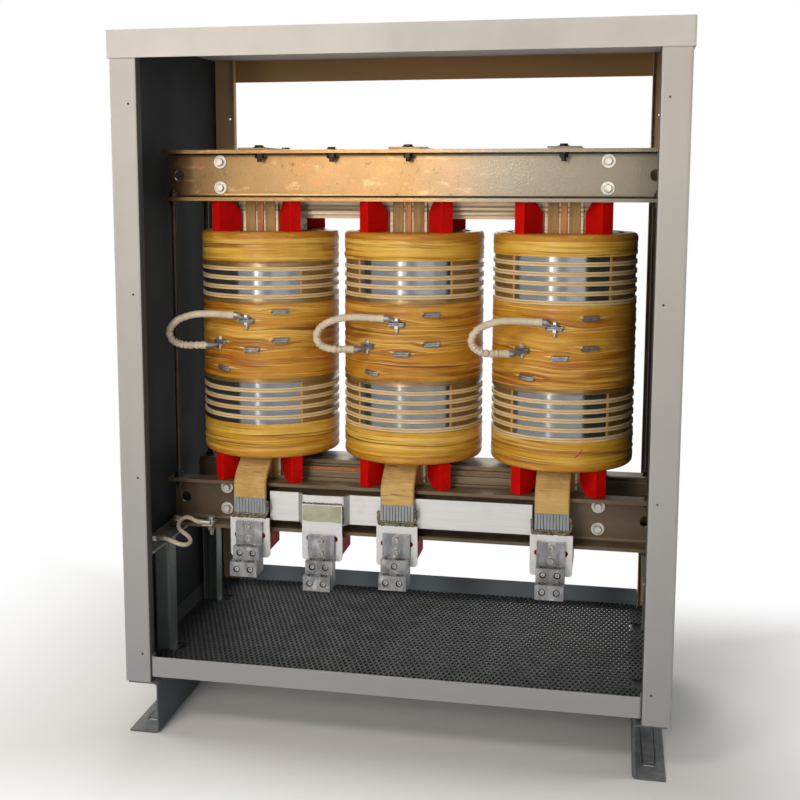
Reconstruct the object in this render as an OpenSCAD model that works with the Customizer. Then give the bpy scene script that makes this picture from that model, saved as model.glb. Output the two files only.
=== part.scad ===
// Dry-type three-phase power transformer: core and coils in an open sheet-steel enclosure.
// Millimetres, +Z up, origin on the floor under the middle of the enclosure, front towards -Y.

/* [Enclosure] */
// Width over the corner posts
enclosure_w = 1220; // [1150:1:1300]
// Depth over the corner posts
enclosure_d = 700; // [640:1:800]
// Height of the top of the cap above the floor
enclosure_h = 1582; // [1500:1:1750]
// Thickness of the enclosure sheet
sheet_t = 2.5; // [2:0.5:3]
// Height of the cap's skirt
cap_skirt = 59; // [40:1:90]
// How far the cap stands out past the posts
cap_overhang = 4; // [3:0.5:10]
// Radius at the cap's upright corners
cap_corner_r = 6; // [4:1:12]
// Face width of a corner post
post_w = 62; // [58:1:66]
// Depth of a corner post's side leg
post_side = 62; // [50:1:90]
// Depth of a corner post's inner lip
post_lip = 25; // [18:1:35]
// Bend radius of the enclosure sheet, at mid thickness
bend_r = 5; // [4:0.5:7]
// Radius of the screw holes for the covers
cover_hole_r = 2.5; // [1.5:0.5:4]
// Distance of the cover holes from a post's outer edge
cover_hole_in = 43; // [35:1:48]
// Lowest cover hole above the foot of the post
cover_hole_low = 67; // [40:1:100]
// Highest cover hole below the cap's skirt
cover_hole_high = 97; // [40:1:140]
// Number of cover holes in a post
cover_hole_count = 4; // [2:1:8]

/* [Base] */
// Height of the feet
foot_h = 122; // [100:1:150]
// Thickness of the feet
foot_t = 4; // [3:0.5:6]
// Bend radius of the feet, at mid thickness
foot_bend_r = 8; // [6:1:10]
// Distance of a foot's web from the outer edge of the posts
foot_inset = 78; // [70:1:90]
// Width of a foot's flanges
foot_flange = 71; // [60:1:76]
// Width of an anchor slot
slot_w = 12; // [9:1:14]
// Length of an anchor slot over its round ends
slot_l = 26; // [20:1:34]
// Distance of an anchor slot from the end of its foot
slot_end = 64; // [40:1:100]
// Height of the front and rear base rails
rail_h = 47; // [35:1:60]
// Underside of the front and rear base rails above the feet
rail_rise = 13; // [4:1:25]
// Distance of the base rails behind the faces of the posts
rail_setback = 4; // [3:0.5:8]
// Inward flange of the front and rear base rails
rail_flange = 40; // [30:1:60]
// Inward flange of the side rails
side_flange = 50; // [46:1:54]
// Height of the side rails
side_rail_h = 60; // [40:1:80]
// Thickness of the mesh floor
mesh_t = 2; // [1.5:0.5:3]
// Length of a diamond of the mesh floor, left to right
mesh_pitch_x = 38; // [30:1:50]
// Length of a diamond of the mesh floor, front to back
mesh_pitch_y = 92; // [70:1:110]
// Width of a strand of the mesh floor
mesh_strand = 4; // [3:0.5:6]
// Solid border of the mesh floor
mesh_border = 12; // [8:1:20]

/* [Core support] */
// Height of the shelves above the floor
shelf_z = 424; // [380:1:460]
// Thickness of the shelves
shelf_t = 5; // [4:0.5:8]
// Height of a shelf's leg down the side panel
shelf_drop = 50; // [35:1:70]
// Width of a shelf
shelf_w = 62; // [52:1:72]
// Depth of a shelf leg, front to back
leg_d = 45; // [35:1:60]
// Distance of the shelf legs' outer faces from the middle
leg_y = 195; // [170:1:220]
// Thickness of a shelf leg
leg_t = 3; // [2:0.5:4]
// Thickness of the rubber pads under the core
rubber_t = 8; // [5:1:15]
// Length of a rubber pad, front to back
rubber_l = 44; // [30:1:50]

/* [Core] */
// Room from the top of the upper clamps to the top of the cap
head_room = 250; // [200:1:300]
// Room between an outer coil and the side panel
side_room = 86; // [70:1:100]
// Gap between neighbouring coils
phase_gap = 24; // [16:1:36]
// Height of a yoke left bare between its clamps and the coils
yoke_show = 41.5; // [36:0.5:48]
// Flange width of a core clamp
clamp_flange = 58; // [54:1:66]
// Thickness of a core clamp
clamp_t = 8; // [6:0.5:10]
// Bend radius of a core clamp, at mid thickness
clamp_bend_r = 11; // [8:1:14]
// Room between a clamp's end and the side panel
clamp_end = 27; // [20:1:34]
// Height of the clamps' outer flanges over the yokes
tie_gap = 0.5; // [0.5:0.5:4]
// Radius of the lifting holes in the clamps
lift_r = 13; // [9:1:16]
// Distance of the lifting holes from the end of a clamp
lift_end = 26; // [22:1:40]
// Radius of the upright tie rods
rod_r = 6; // [4:0.5:8]
// Distance of the tie rods from the end of a clamp
rod_end = 20; // [15:1:30]
// Length of a tie rod past the flanges it holds
rod_past = 18; // [14:1:26]
// Width of the plates that tie the upper clamps together
tie_w = 74; // [50:1:100]
// Thickness of the plates that tie the upper clamps together
tie_t = 5; // [4:0.5:8]
// Distance of a board from the edge of its core leg
board_edge = 6; // [3:0.5:9]
// Thickness of a board on a core leg
board_t = 3; // [2:0.5:3.5]
// Width of the strip between the boards
strip_w = 15; // [8:1:20]
// Thickness of the strip between the boards
strip_t = 4; // [2:0.5:6]
// Gap between the strip and a board
strip_gap = 4; // [2:0.5:6]

/* [Coils] */
// Gap between the lower yoke and the coils
coil_gap = 22; // [18:1:26]
// Gap between the coils and the upper yoke
coil_head = 29; // [24:1:36]
// Gap between a core leg and its inner winding
leg_gap = 4; // [3:0.5:6]
// Thickness of the inner winding
inner_build = 26; // [22:1:30]
// Width of the air duct between the windings
duct_w = 12; // [10:1:14]
// Thickness of the outer winding
outer_build = 31; // [28:1:34]
// Width of a duct stick
stick_w = 10; // [6:1:14]
// Number of duct sticks in a coil
stick_count = 12; // [8:1:16]
// Rounding of a coil's rims
rim_r = 9; // [5:1:12]
// Depth of the bands where bare strip shows between rings of tape
band_depth = 3; // [2:0.5:5]
// Distance between two rings of a band
turn_pitch = 21.4; // [18:0.2:22]
// Height of a ring
turn_h = 10; // [6:0.5:12]
// Thickness of a spacer block
block_t = 28; // [24:1:30]
// Turn of the spacer blocks from the coil's front or rear, in degrees
block_turn = 37; // [34:1:40]
// Distance of the spacer blocks' ends inside the coil's outer face
block_inset = 5; // [4:1:12]
// Room between a spacer block's heel and the core
block_clear = 7; // [6:0.5:10]
// Room between a spacer block's taper and the step of the yoke over it
taper_clear = 4; // [3:0.5:8]

/* [Terminals] */
// Width of a winding tap
tap_w = 38; // [28:1:44]
// Thickness of a winding tap
tap_t = 6; // [4:0.5:10]
// Height of a winding tap
tap_h = 10; // [8:0.5:14]
// Diameter of a jumper cable over its sleeve
jumper_d = 16; // [14:0.5:18]
// Width of a low-voltage lead
lead_w = 78; // [60:1:86]
// Thickness of a low-voltage lead
lead_t = 12; // [8:0.5:14]
// Offset of the leads from the axis of their coil, to the left
lead_offset = 10; // [0:1:14]
// Bend radius of a lead, at mid thickness
lead_bend_r = 22; // [18:1:24]
// Straight length of a lead under its coil
lead_neck = 14; // [13:1:18]
// Width of a terminal pad
pad_w = 96; // [88:1:104]
// Height of a terminal pad
pad_h = 96; // [88:1:110]
// Thickness of a terminal pad
plate_t = 6; // [4:0.5:8]
// Front of the terminal pads before the flanges of the clamps
pad_stand = 28.4; // [26:0.2:32]
// Top of the terminal pads under the middle of the lower clamps
pad_drop = 20; // [12:1:30]
// Corner radius of a terminal pad
pad_corner_r = 8; // [4:1:12]
// Radius of the holes in a terminal pad
pad_hole_r = 7; // [5:0.5:8]
// Distance of the holes in a pad from its middle
pad_hole_x = 31; // [26:1:36]
// Height of the holes above a pad's lower edge
pad_hole_up = 53; // [40:1:60]
// Underside of the neutral bus above the foot of the lower clamps
bus_foot = 30; // [20:1:45]
// Top of the neutral bus under the top of the lower clamps
bus_drop = 17; // [10:1:24]
// Room between the neutral bus and the clamp
bus_gap = 4; // [3:0.5:6]
// Height of the neutral pad
neutral_h = 134; // [120:1:150]
// Top of the neutral pad under the top of the bus
neutral_drop = 20; // [12:1:30]
// Height of the insulating blocks under the lower clamp
standoff_h = 40; // [36:1:46]
// Width of a cable lug
lug_w = 64; // [60:1:70]
// Height of a cable lug
lug_h = 118; // [110:1:126]
// Thickness of a lug's tongue
tongue_t = 10; // [8:0.5:14]
// Length of a lug's tongue
tongue_l = 54; // [48:1:60]
// Depth of each of a lug's two steps
step_d = 24; // [22:1:28]
// Height of a lug's upper step
step_h = 30; // [26:1:34]
// Radius of a cable bore
cable_r = 8.5; // [6:0.5:9.5]
// Diameter of the ground strap over its sleeve
strap_d = 10; // [8:0.5:12]
// Width of a ground strap lug
strap_lug_w = 18; // [14:1:22]
// Length of a ground strap lug
strap_lug_l = 26; // [20:1:32]
// Thickness of the tongue of a jumper or strap lug
lug_t = 3; // [2:0.5:4]

/* [Hidden] */
// Overrun of cuts past the faces they open
over = 1;
// Clearance between pieces that slide or slip together
slip = 0.3;
// Depth to which welded pieces run into each other
weld = 0.5;
// Number of coils
coil_count = 3;
$fn = 64;

// Core packets, as shares of the circle's diameter
packet_shares = [0.859, 0.761, 0.636, 0.462];
// Taps: turn about the coil's axis in degrees, and height as a share of the coil's height
tap_shares = [[23, 0.658], [23, 0.532], [0, 0.490], [-26, 0.401]];
// Taps that the jumper joins, in the same terms
joined_shares = [[-4, 0.616], [-30, 0.517]];
// Lower and upper band of each coil: middle of the lowest ring as a share of the coil's height, number of
// rings, and how many bare strips show under the lowest and over the highest ring
band_shares = [
    [[0.1854, 4, 1, 1], [0.7187, 4, 0, 0]],
    [[0.1532, 5, 0, 1], [0.7299, 4, 0, 1]],
    [[0.1414, 5, 0, 1], [0.7171, 5, 0, 1]]
];
// Tops of the lugs under the tops of their pads, as shares of the lug's height
lug_drop_shares = [0.07, 0.25, 0.15, 0.13];

half_w = enclosure_w / 2;
half_d = enclosure_d / 2;
cap_bottom = enclosure_h - cap_skirt;
post_top = enclosure_h - sheet_t;
panel_x = half_w - sheet_t;
wall_x = panel_x - sheet_t;
bay_half_d = half_d - sheet_t - bend_r;
rail_z = foot_h + rail_rise;
foot_x = half_w - foot_inset;

coil_r = (wall_x - side_room - (coil_count - 1) / 2 * phase_gap) / coil_count;
coil_pitch = 2 * coil_r + phase_gap;
coil_x = [for (k = [0 : coil_count - 1]) (k - (coil_count - 1) / 2) * coil_pitch];
outer_r = coil_r - outer_build;
duct_r = outer_r - duct_w;
inner_r = duct_r - inner_build;
core_r = inner_r - leg_gap;

packet_w = [for (s = packet_shares) 2 * core_r * s];
packet_d = [for (w = packet_w) sqrt(core_r * core_r - w * w / 4)];
packets = len(packet_shares);
clamp_back = packet_d[packets - 1];
clamp_front = clamp_back + clamp_flange;
clamp_half = wall_x - clamp_end;
clamp_h = packet_w[0] + tie_gap - yoke_show;
clamp_shift = (packet_w[0] - clamp_h) / 2 + tie_gap;
low_clamp_z = shelf_z + rubber_t;
low_clamp_top = low_clamp_z + clamp_h;
high_clamp_top = enclosure_h - head_room;
high_clamp_z = high_clamp_top - clamp_h;
low_yoke_z = low_clamp_z + clamp_h / 2 + clamp_shift;
high_yoke_z = high_clamp_z + clamp_h / 2 - clamp_shift;
window_low = low_yoke_z + packet_w[0] / 2;
window_high = high_yoke_z - packet_w[0] / 2;
rod_x = clamp_half - rod_end;
rod_y = (clamp_back + clamp_front + clamp_t) / 2;

coil_low = window_low + coil_gap;
coil_high = window_high - coil_head;
coil_h = coil_high - coil_low;
turn_r = coil_r - band_depth;
bare_h = turn_pitch - turn_h;
block_in = inner_r;
block_out = coil_r - block_inset;
block_heel = (clamp_back + block_t / 2 * sin(block_turn)) / cos(block_turn) + block_clear;
block_near = block_in * cos(block_turn) - block_t / 2 * sin(block_turn);
block_step = max([for (i = [0 : packets - 1]) if (packet_d[i] > block_near) packet_w[i]]) / 2;
block_turns = [90 - block_turn, 90 + block_turn, 270 - block_turn, 270 + block_turn];

shelf_in = wall_x - shelf_w;
leg_in = wall_x - side_flange + leg_t;
pad_y = clamp_front + pad_stand;
pad_top = low_clamp_z + clamp_h / 2 - pad_drop;
pad_low = pad_top - pad_h;
lead_x = [for (x = coil_x) x - lead_offset];
neutral_x = (lead_x[0] + lead_x[1]) / 2;
terminal_x = [lead_x[0], neutral_x, lead_x[1], lead_x[2]];
bus_top = low_clamp_top - bus_drop;
bus_h = clamp_h - bus_drop - bus_foot;
bus_y = clamp_front + bus_gap;
neutral_y = pad_y + plate_t - weld;
lug_back = [pad_y, neutral_y, pad_y, pad_y];
lug_top = [for (s = lug_drop_shares) pad_top - s * lug_h];
lead_start = (inner_r + duct_r) / 2;
lead_front = pad_y - lead_t / 2;
jumper_r = jumper_d / 2;
barrel_r = jumper_r + lug_t / 2;
strap_r = strap_d / 2;

// Middle line of a jumper, from the foot of its coil's front: out to the left and back
jumper_route = [
    [-38, -14, 341], [-52, -14, 341], [-74, -15, 342], [-98, -18, 343], [-126, -22, 342], [-152, -25, 336],
    [-174, -26, 326], [-188, -26, 312], [-193, -25, 296], [-187, -23, 281], [-172, -18, 271],
    [-152, -10, 267], [-132, -3, 267], [-110, -3, 267]
];
jumper_path = [for (point = jumper_route) point + [0, -coil_r, coil_low]];
// Middle line of the ground strap, from the lower clamp to the left shelf
strap_route = [
    [-488, -149, 447], [-499, -149, 447], [-509.3, -148.9, 450.4], [-518.3, -151.4, 455.6],
    [-526.5, -157, 458.4], [-533.5, -165, 457.4], [-537.6, -174.4, 452.8], [-537.2, -183, 446.4],
    [-532.5, -189.9, 439.9], [-524.5, -194.7, 434.7], [-514.9, -198.7, 430.4], [-505.5, -203.4, 425.9],
    [-498.5, -210.6, 421.4], [-495.3, -220.1, 417.9], [-496.6, -230.7, 416.2], [-502.4, -240.6, 417.1],
    [-511.6, -247, 420.4], [-522.6, -248.7, 424.9], [-534.5, -247.3, 428.8], [-547, -245.5, 431],
    [-560, -245.5, 431]
];

// Bent strips: a path of corners becomes a strip with round bends

function unit(v) = v / norm(v);

function turned(v) = [-v[1], v[0]];

function swing(a, b) = let (d = b - a) d > 180 ? d - 360 : d < -180 ? d + 360 : d;

function bend(a, b, c, r, n = 4) =
    let (
        u = unit(a - b),
        v = unit(c - b),
        half = acos(u * v) / 2,
        middle = b + unit(u + v) * r / sin(half),
        from = b + u * r / tan(half) - middle,
        to = b + v * r / tan(half) - middle,
        start = atan2(from[1], from[0]),
        sweep = swing(start, atan2(to[1], to[0]))
    )
    [for (k = [0 : n]) middle + r * [cos(start + sweep * k / n), sin(start + sweep * k / n)]];

function rounded(path, r) = concat(
    [path[0]],
    [for (i = [1 : len(path) - 2]) each bend(path[i - 1], path[i], path[i + 1], r)],
    [path[len(path) - 1]]
);

function mitre(path, i) =
    let (
        last = len(path) - 1,
        before = unit(path[max(i, 1)] - path[max(i, 1) - 1]),
        after = unit(path[min(i, last - 1) + 1] - path[min(i, last - 1)]),
        across = unit(turned(before) + turned(after))
    )
    across / (across * turned(after));

function strip_outline(path, t) = concat(
    [for (i = [0 : len(path) - 1]) path[i] + mitre(path, i) * t / 2],
    [for (i = [len(path) - 1 : -1 : 0]) path[i] - mitre(path, i) * t / 2]
);

module bent_strip(path, t, r) {
    polygon(strip_outline(rounded(path, r), t));
}

// Extrudes a profile drawn in Y and Z along X, centred
module along_x(length) {
    rotate([90, 0, 90])
        translate([0, 0, -length / 2])
            linear_extrude(length) children();
}

// Extrudes a profile drawn in X and Z along Y, centred
module along_y(length) {
    rotate([90, 0, 0])
        translate([0, 0, -length / 2])
            linear_extrude(length) children();
}

// Repeats a piece at the other side, left to right
module both_sides() {
    children();
    mirror([1, 0, 0]) children();
}

// Repeats a piece at the other face, front to rear
module both_faces() {
    children();
    mirror([0, 1, 0]) children();
}

// Round tube swept along a route, with flat ends

function heading(route, i) = unit(route[min(i + 1, len(route) - 1)] - route[max(i - 1, 0)]);

function tube_ring(route, i, r, sides) =
    let (
        ahead = heading(route, i),
        side = unit(cross(ahead, [0, 1, 0])),
        up = cross(side, ahead)
    )
    [
        for (k = [0 : sides - 1])
            let (turn = 360 * k / sides) route[i] + r * (cos(turn) * side + sin(turn) * up)
    ];

module swept_tube(route, r, sides = 10) {
    last = len(route) - 1;
    polyhedron(
        points = [for (i = [0 : last]) each tube_ring(route, i, r, sides)],
        faces = concat(
            [[for (k = [0 : sides - 1]) k]],
            [
                for (i = [0 : last - 1], k = [0 : sides - 1])
                    let (a = i * sides, b = a + sides, n = (k + 1) % sides)
                        each [[a + k, b + k, b + n], [a + k, b + n, a + n]]
            ],
            [[for (k = [sides - 1 : -1 : 0]) last * sides + k]]
        )
    );
}

// Enclosure

module top_cap() {
    skirt_w = enclosure_w + 2 * cap_overhang;
    skirt_d = enclosure_d + 2 * cap_overhang;
    color("gainsboro")
        translate([0, 0, cap_bottom])
            difference() {
                linear_extrude(cap_skirt) round_rectangle(skirt_w, skirt_d, cap_corner_r);
                translate([0, 0, -over])
                    linear_extrude(cap_skirt - sheet_t + over)
                        round_rectangle(
                            skirt_w - 2 * sheet_t, skirt_d - 2 * sheet_t, cap_corner_r - sheet_t
                        );
            }
}

module round_rectangle(w, d, r) {
    union() {
        square([w - 2 * r, d], center = true);
        square([w, d - 2 * r], center = true);
        for (x = [-1, 1], y = [-1, 1])
            translate([x * (w / 2 - r), y * (d / 2 - r)]) circle(r);
    }
}

// Post at the front left corner; the others mirror it
module corner_post() {
    outer = -half_w + sheet_t / 2;
    face = -half_d + sheet_t / 2;
    inner = -half_w + post_w - sheet_t / 2;
    low_hole = foot_h + cover_hole_low;
    high_hole = cap_bottom - cover_hole_high;
    color("silver")
        difference() {
            translate([0, 0, foot_h])
                linear_extrude(post_top - foot_h)
                    bent_strip(
                        [
                            [outer, -half_d + post_side], [outer, face],
                            [inner, face], [inner, -half_d + post_lip]
                        ],
                        sheet_t, bend_r
                    );
            for (k = [0 : cover_hole_count - 1])
                translate([
                    -half_w + cover_hole_in,
                    -half_d - over,
                    low_hole + (high_hole - low_hole) * k / (cover_hole_count - 1)
                ])
                    rotate([-90, 0, 0]) cylinder(r = cover_hole_r, h = sheet_t + 2 * over, $fn = 24);
        }
}

module front_left_post() {
    corner_post();
}

module front_right_post() {
    mirror([1, 0, 0]) corner_post();
}

module rear_left_post() {
    mirror([0, 1, 0]) corner_post();
}

module rear_right_post() {
    mirror([1, 0, 0]) mirror([0, 1, 0]) corner_post();
}

module left_side_panel() {
    color("silver")
        translate([-panel_x, -bay_half_d, foot_h])
            cube([sheet_t, 2 * bay_half_d, post_top - foot_h]);
}

module right_side_panel() {
    mirror([1, 0, 0]) left_side_panel();
}

module front_base_rail() {
    tab_x = half_w - post_w - sheet_t / 2;
    face = -half_d + rail_setback + sheet_t / 2;
    tab_y = -half_d + rail_setback + post_lip;
    color("silver")
        translate([0, 0, rail_z])
            union() {
                linear_extrude(rail_h)
                    bent_strip(
                        [[-tab_x, tab_y], [-tab_x, face], [tab_x, face], [tab_x, tab_y]],
                        sheet_t, bend_r
                    );
                translate([-tab_x + bend_r, face, 0])
                    cube([2 * (tab_x - bend_r), rail_flange - sheet_t / 2, sheet_t]);
            }
}

module rear_base_rail() {
    mirror([0, 1, 0]) front_base_rail();
}

module left_base_rail() {
    back = -wall_x + sheet_t / 2;
    flange_end = -wall_x + side_flange;
    low = foot_h + sheet_t / 2;
    color("silver")
        along_y(2 * bay_half_d)
            bent_strip([[back, foot_h + side_rail_h], [back, low], [flange_end, low]], sheet_t, bend_r);
}

module right_base_rail() {
    mirror([1, 0, 0]) left_base_rail();
}

// Expanded metal sheet with staggered diamonds, notched round the shelf legs
module mesh_floor() {
    mesh_half_w = wall_x - sheet_t - mesh_t;
    mesh_half_d = half_d - rail_setback - sheet_t - mesh_t;
    columns = floor((mesh_half_w - mesh_border) / mesh_pitch_x - 0.5);
    rows = floor((mesh_half_d - mesh_border) / mesh_pitch_y - 0.5);
    color("dimgray")
        translate([0, 0, rail_z + sheet_t])
            linear_extrude(mesh_t)
                difference() {
                    square([2 * mesh_half_w, 2 * mesh_half_d], center = true);
                    both_sides() both_faces() {
                        translate([-mesh_half_w - over, -leg_y - mesh_strand])
                            square([mesh_half_w - leg_in + mesh_strand + over, leg_d + 2 * mesh_strand]);
                        post_corner = half_w - post_w - mesh_strand;
                        translate([-mesh_half_w - over, -mesh_half_d - over])
                            square([
                                mesh_half_w - post_corner + over,
                                mesh_half_d - half_d + post_lip + rail_setback + mesh_strand + over
                            ]);
                    }
                    for (i = [-columns : columns], j = [-rows : rows], shift = [0, 1 / 2])
                        let (x = (i + shift) * mesh_pitch_x, y = (j + shift) * mesh_pitch_y)
                            if (on_open_floor(x, y, mesh_half_w, mesh_half_d))
                                translate([x, y]) diamond();
                }
}

// True where a diamond stays clear of the border, the legs and the posts
function on_open_floor(x, y, half_x, half_y) =
    abs(x) + mesh_pitch_x / 2 < half_x - mesh_border
    && abs(y) + mesh_pitch_y / 2 < half_y - mesh_border
    && abs(x) + mesh_pitch_x / 2 < leg_in - mesh_strand - mesh_border / 2;

module diamond() {
    w = mesh_pitch_x / 2 - mesh_strand;
    d = mesh_pitch_y / 2 - mesh_strand * mesh_pitch_y / mesh_pitch_x;
    polygon([[-w, 0], [0, -d], [w, 0], [0, d]]);
}

module left_foot() {
    web = -foot_x - foot_t / 2;
    out = -foot_x - foot_flange;
    low = foot_t / 2;
    high = foot_h - foot_t / 2;
    color("slategray")
        difference() {
            along_y(enclosure_d)
                bent_strip([[out, high], [web, high], [web, low], [out, low]], foot_t, foot_bend_r);
            both_faces()
                translate([-foot_x - foot_flange / 2 - foot_t / 2, -half_d + slot_end, -over])
                    anchor_slot();
        }
}

module anchor_slot() {
    reach = (slot_l - slot_w) / 2;
    depth = foot_t + 2 * over;
    union() {
        for (x = [-reach, reach])
            translate([x, 0, 0]) cylinder(d = slot_w, h = depth, $fn = 32);
        translate([-reach, -slot_w / 2, 0]) cube([2 * reach, slot_w, depth]);
    }
}

module right_foot() {
    mirror([1, 0, 0]) left_foot();
}

// Core support

module left_shelf() {
    back = -wall_x + shelf_t / 2;
    high = shelf_z - shelf_t / 2;
    color("darkslategray")
        along_y(2 * (half_d - post_lip))
            bent_strip([[back, shelf_z - shelf_drop], [back, high], [-shelf_in, high]], shelf_t, shelf_t);
}

module right_shelf() {
    mirror([1, 0, 0]) left_shelf();
}

module shelf_legs() {
    low = foot_h + sheet_t;
    wall_side = -wall_x + shelf_t + bend_r;
    inner_side = -leg_in - leg_t / 2;
    face = -leg_y + leg_t / 2;
    color("darkslategray")
        both_sides() both_faces()
            translate([0, 0, low])
                linear_extrude(shelf_z - shelf_t - low)
                    bent_strip(
                        [
                            [wall_side, -leg_y + leg_d], [wall_side, face],
                            [inner_side, face], [inner_side, -leg_y + leg_d]
                        ],
                        leg_t, bend_r
                    );
}

module rubber_pads() {
    middle = (clamp_back + clamp_front) / 2;
    color("black")
        both_sides() both_faces()
            translate([-clamp_half, -middle - rubber_l / 2, shelf_z])
                cube([clamp_half - shelf_in, rubber_l, rubber_t]);
}

// Core and clamps

// Channel of bent plate with its back to the core and its flanges to the front
module core_clamp(rod_flange_z) {
    back = -clamp_back - clamp_t / 2;
    low = clamp_t / 2;
    high = clamp_h - clamp_t / 2;
    color("saddlebrown")
        difference() {
            along_x(2 * clamp_half)
                bent_strip(
                    [[-clamp_front, high], [back, high], [back, low], [-clamp_front, low]],
                    clamp_t, clamp_bend_r
                );
            both_sides() {
                translate([clamp_half - lift_end, -clamp_back + over, clamp_h / 2])
                    rotate([90, 0, 0]) cylinder(r = lift_r, h = clamp_t + 2 * over);
                translate([rod_x, -rod_y, rod_flange_z - over])
                    cylinder(r = rod_r + slip, h = clamp_t + 2 * over);
            }
        }
}

module upper_front_clamp() {
    translate([0, 0, high_clamp_z]) core_clamp(0);
}

module upper_rear_clamp() {
    mirror([0, 1, 0]) upper_front_clamp();
}

module lower_front_clamp() {
    translate([0, 0, low_clamp_z]) core_clamp(clamp_h - clamp_t);
}

module lower_rear_clamp() {
    mirror([0, 1, 0]) lower_front_clamp();
}

// Yoke of stepped packets
module yoke() {
    color("slategray")
        union()
            for (i = [0 : packets - 1])
                cube([2 * coil_pitch + packet_w[i], 2 * packet_d[i], packet_w[i]], center = true);
}

module upper_yoke() {
    translate([0, 0, high_yoke_z]) yoke();
}

module lower_yoke() {
    translate([0, 0, low_yoke_z]) yoke();
}

// Legs of stepped packets, each as long as the window in its packet
module core_legs() {
    color("slategray")
        for (x = coil_x)
            translate([x, 0, 0])
                union()
                    both_faces()
                        for (i = [0 : packets - 1])
                            let (from = i == 0 ? 0 : packet_d[i - 1])
                                translate([-packet_w[i] / 2, from, low_yoke_z + packet_w[i] / 2])
                                    cube([
                                        packet_w[i],
                                        packet_d[i] - from,
                                        high_yoke_z - low_yoke_z - packet_w[i]
                                    ]);
}

// Places a piece on the front and rear of each core leg, on top of the lower clamps
module on_core_legs() {
    for (x = coil_x)
        both_faces()
            translate([x, -clamp_back, low_clamp_top])
                children();
}

// Two boards side by side on each face of a leg
module leg_boards() {
    height = high_clamp_z - low_clamp_top;
    inner = strip_w / 2 + strip_gap;
    board_w = packet_w[packets - 1] / 2 - board_edge - inner;
    color("tan")
        on_core_legs()
            both_sides()
                translate([inner, -board_t, 0]) cube([board_w, board_t, height]);
}

// Strip between the boards
module leg_strips() {
    height = high_clamp_z - low_clamp_top;
    color("chocolate")
        on_core_legs()
            translate([-strip_w / 2, -strip_t, 0]) cube([strip_w, strip_t, height]);
}

module tie_plates() {
    color("darkgoldenrod")
        for (x = coil_x)
            translate([x - tie_w / 2, -clamp_front, high_clamp_top])
                cube([tie_w, 2 * clamp_front, tie_t]);
}

module tie_rods() {
    low = low_clamp_top - clamp_t - rod_past;
    high = high_clamp_z + clamp_t + rod_past;
    color("dimgray")
        both_sides() both_faces()
            translate([rod_x, rod_y, low]) cylinder(r = rod_r, h = high - low, $fn = 32);
}

// Coils

// Lower and upper edge of a band, from the coil's foot
function band_foot(band) = band[0] * coil_h - turn_h / 2 - band[2] * bare_h;
function band_head(band) = band[0] * coil_h + (band[1] - 1) * turn_pitch + turn_h / 2 + band[3] * bare_h;

// Outer winding of one coil, with round rims and two bands cut back to the bare strip
module outer_winding(k) {
    color("goldenrod")
        translate([coil_x[k], 0, coil_low])
            rotate_extrude($fn = 96)
                difference() {
                    union() {
                        translate([outer_r, 0]) square([outer_build - rim_r, coil_h]);
                        translate([outer_r, rim_r]) square([outer_build, coil_h - 2 * rim_r]);
                        for (z = [rim_r, coil_h - rim_r])
                            translate([coil_r - rim_r, z]) circle(rim_r, $fn = 32);
                    }
                    for (band = band_shares[k])
                        translate([turn_r, band_foot(band)])
                            square([band_depth + over, band_head(band) - band_foot(band)]);
                }
}

module left_coil() {
    outer_winding(0);
}

module middle_coil() {
    outer_winding(1);
}

module right_coil() {
    outer_winding(2);
}

// Rings of tape that part the bare turns in the bands
module bare_turns() {
    color("wheat")
        for (k = [0 : coil_count - 1], band = band_shares[k], ring = [0 : band[1] - 1])
            translate([coil_x[k], 0, coil_low + band[0] * coil_h + ring * turn_pitch])
                rotate_extrude($fn = 96)
                    translate([turn_r, -turn_h / 2]) square([band_depth, turn_h]);
}

module inner_windings() {
    color("peru")
        for (x = coil_x)
            translate([x, 0, coil_low])
                difference() {
                    cylinder(r = duct_r, h = coil_h);
                    translate([0, 0, -over]) cylinder(r = inner_r, h = coil_h + 2 * over);
                }
}

module duct_sticks() {
    reach = outer_r - slip;
    stick_t = sqrt(reach * reach - stick_w * stick_w / 4) - duct_r - slip;
    color("burlywood")
        for (x = coil_x, k = [0 : stick_count - 1])
            translate([x, 0, coil_low])
                rotate(360 * (k + 1 / 2) / stick_count)
                    translate([duct_r + slip, -stick_w / 2, 0])
                        cube([stick_t, stick_w, coil_h]);
}

// Spacer block seen along its side: foot on the clamp, taper clear of the yoke
module spacer_block(height, taper) {
    rotate([90, 0, 0])
        translate([0, 0, -block_t / 2])
            linear_extrude(block_t)
                polygon([
                    [block_heel, 0], [block_out, 0], [block_out, height],
                    [block_in, height], [block_in, taper]
                ]);
}

module lower_blocks() {
    color("firebrick")
        for (x = coil_x, turn = block_turns)
            translate([x, 0, low_clamp_top])
                rotate(turn)
                    spacer_block(
                        coil_low - low_clamp_top,
                        low_yoke_z + block_step + taper_clear - low_clamp_top
                    );
}

module upper_blocks() {
    color("firebrick")
        for (x = coil_x, turn = block_turns)
            translate([x, 0, high_clamp_z])
                mirror([0, 0, 1])
                    rotate(turn)
                        spacer_block(
                            high_clamp_z - coil_high,
                            high_clamp_z - high_yoke_z + block_step + taper_clear
                        );
}

// Terminals

module tap_bar(turn, share) {
    translate([0, 0, coil_low + share * coil_h])
        rotate(turn)
            translate([-tap_w / 2, -coil_r - slip - tap_t, -tap_h / 2])
                cube([tap_w, tap_t, tap_h]);
}

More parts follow.
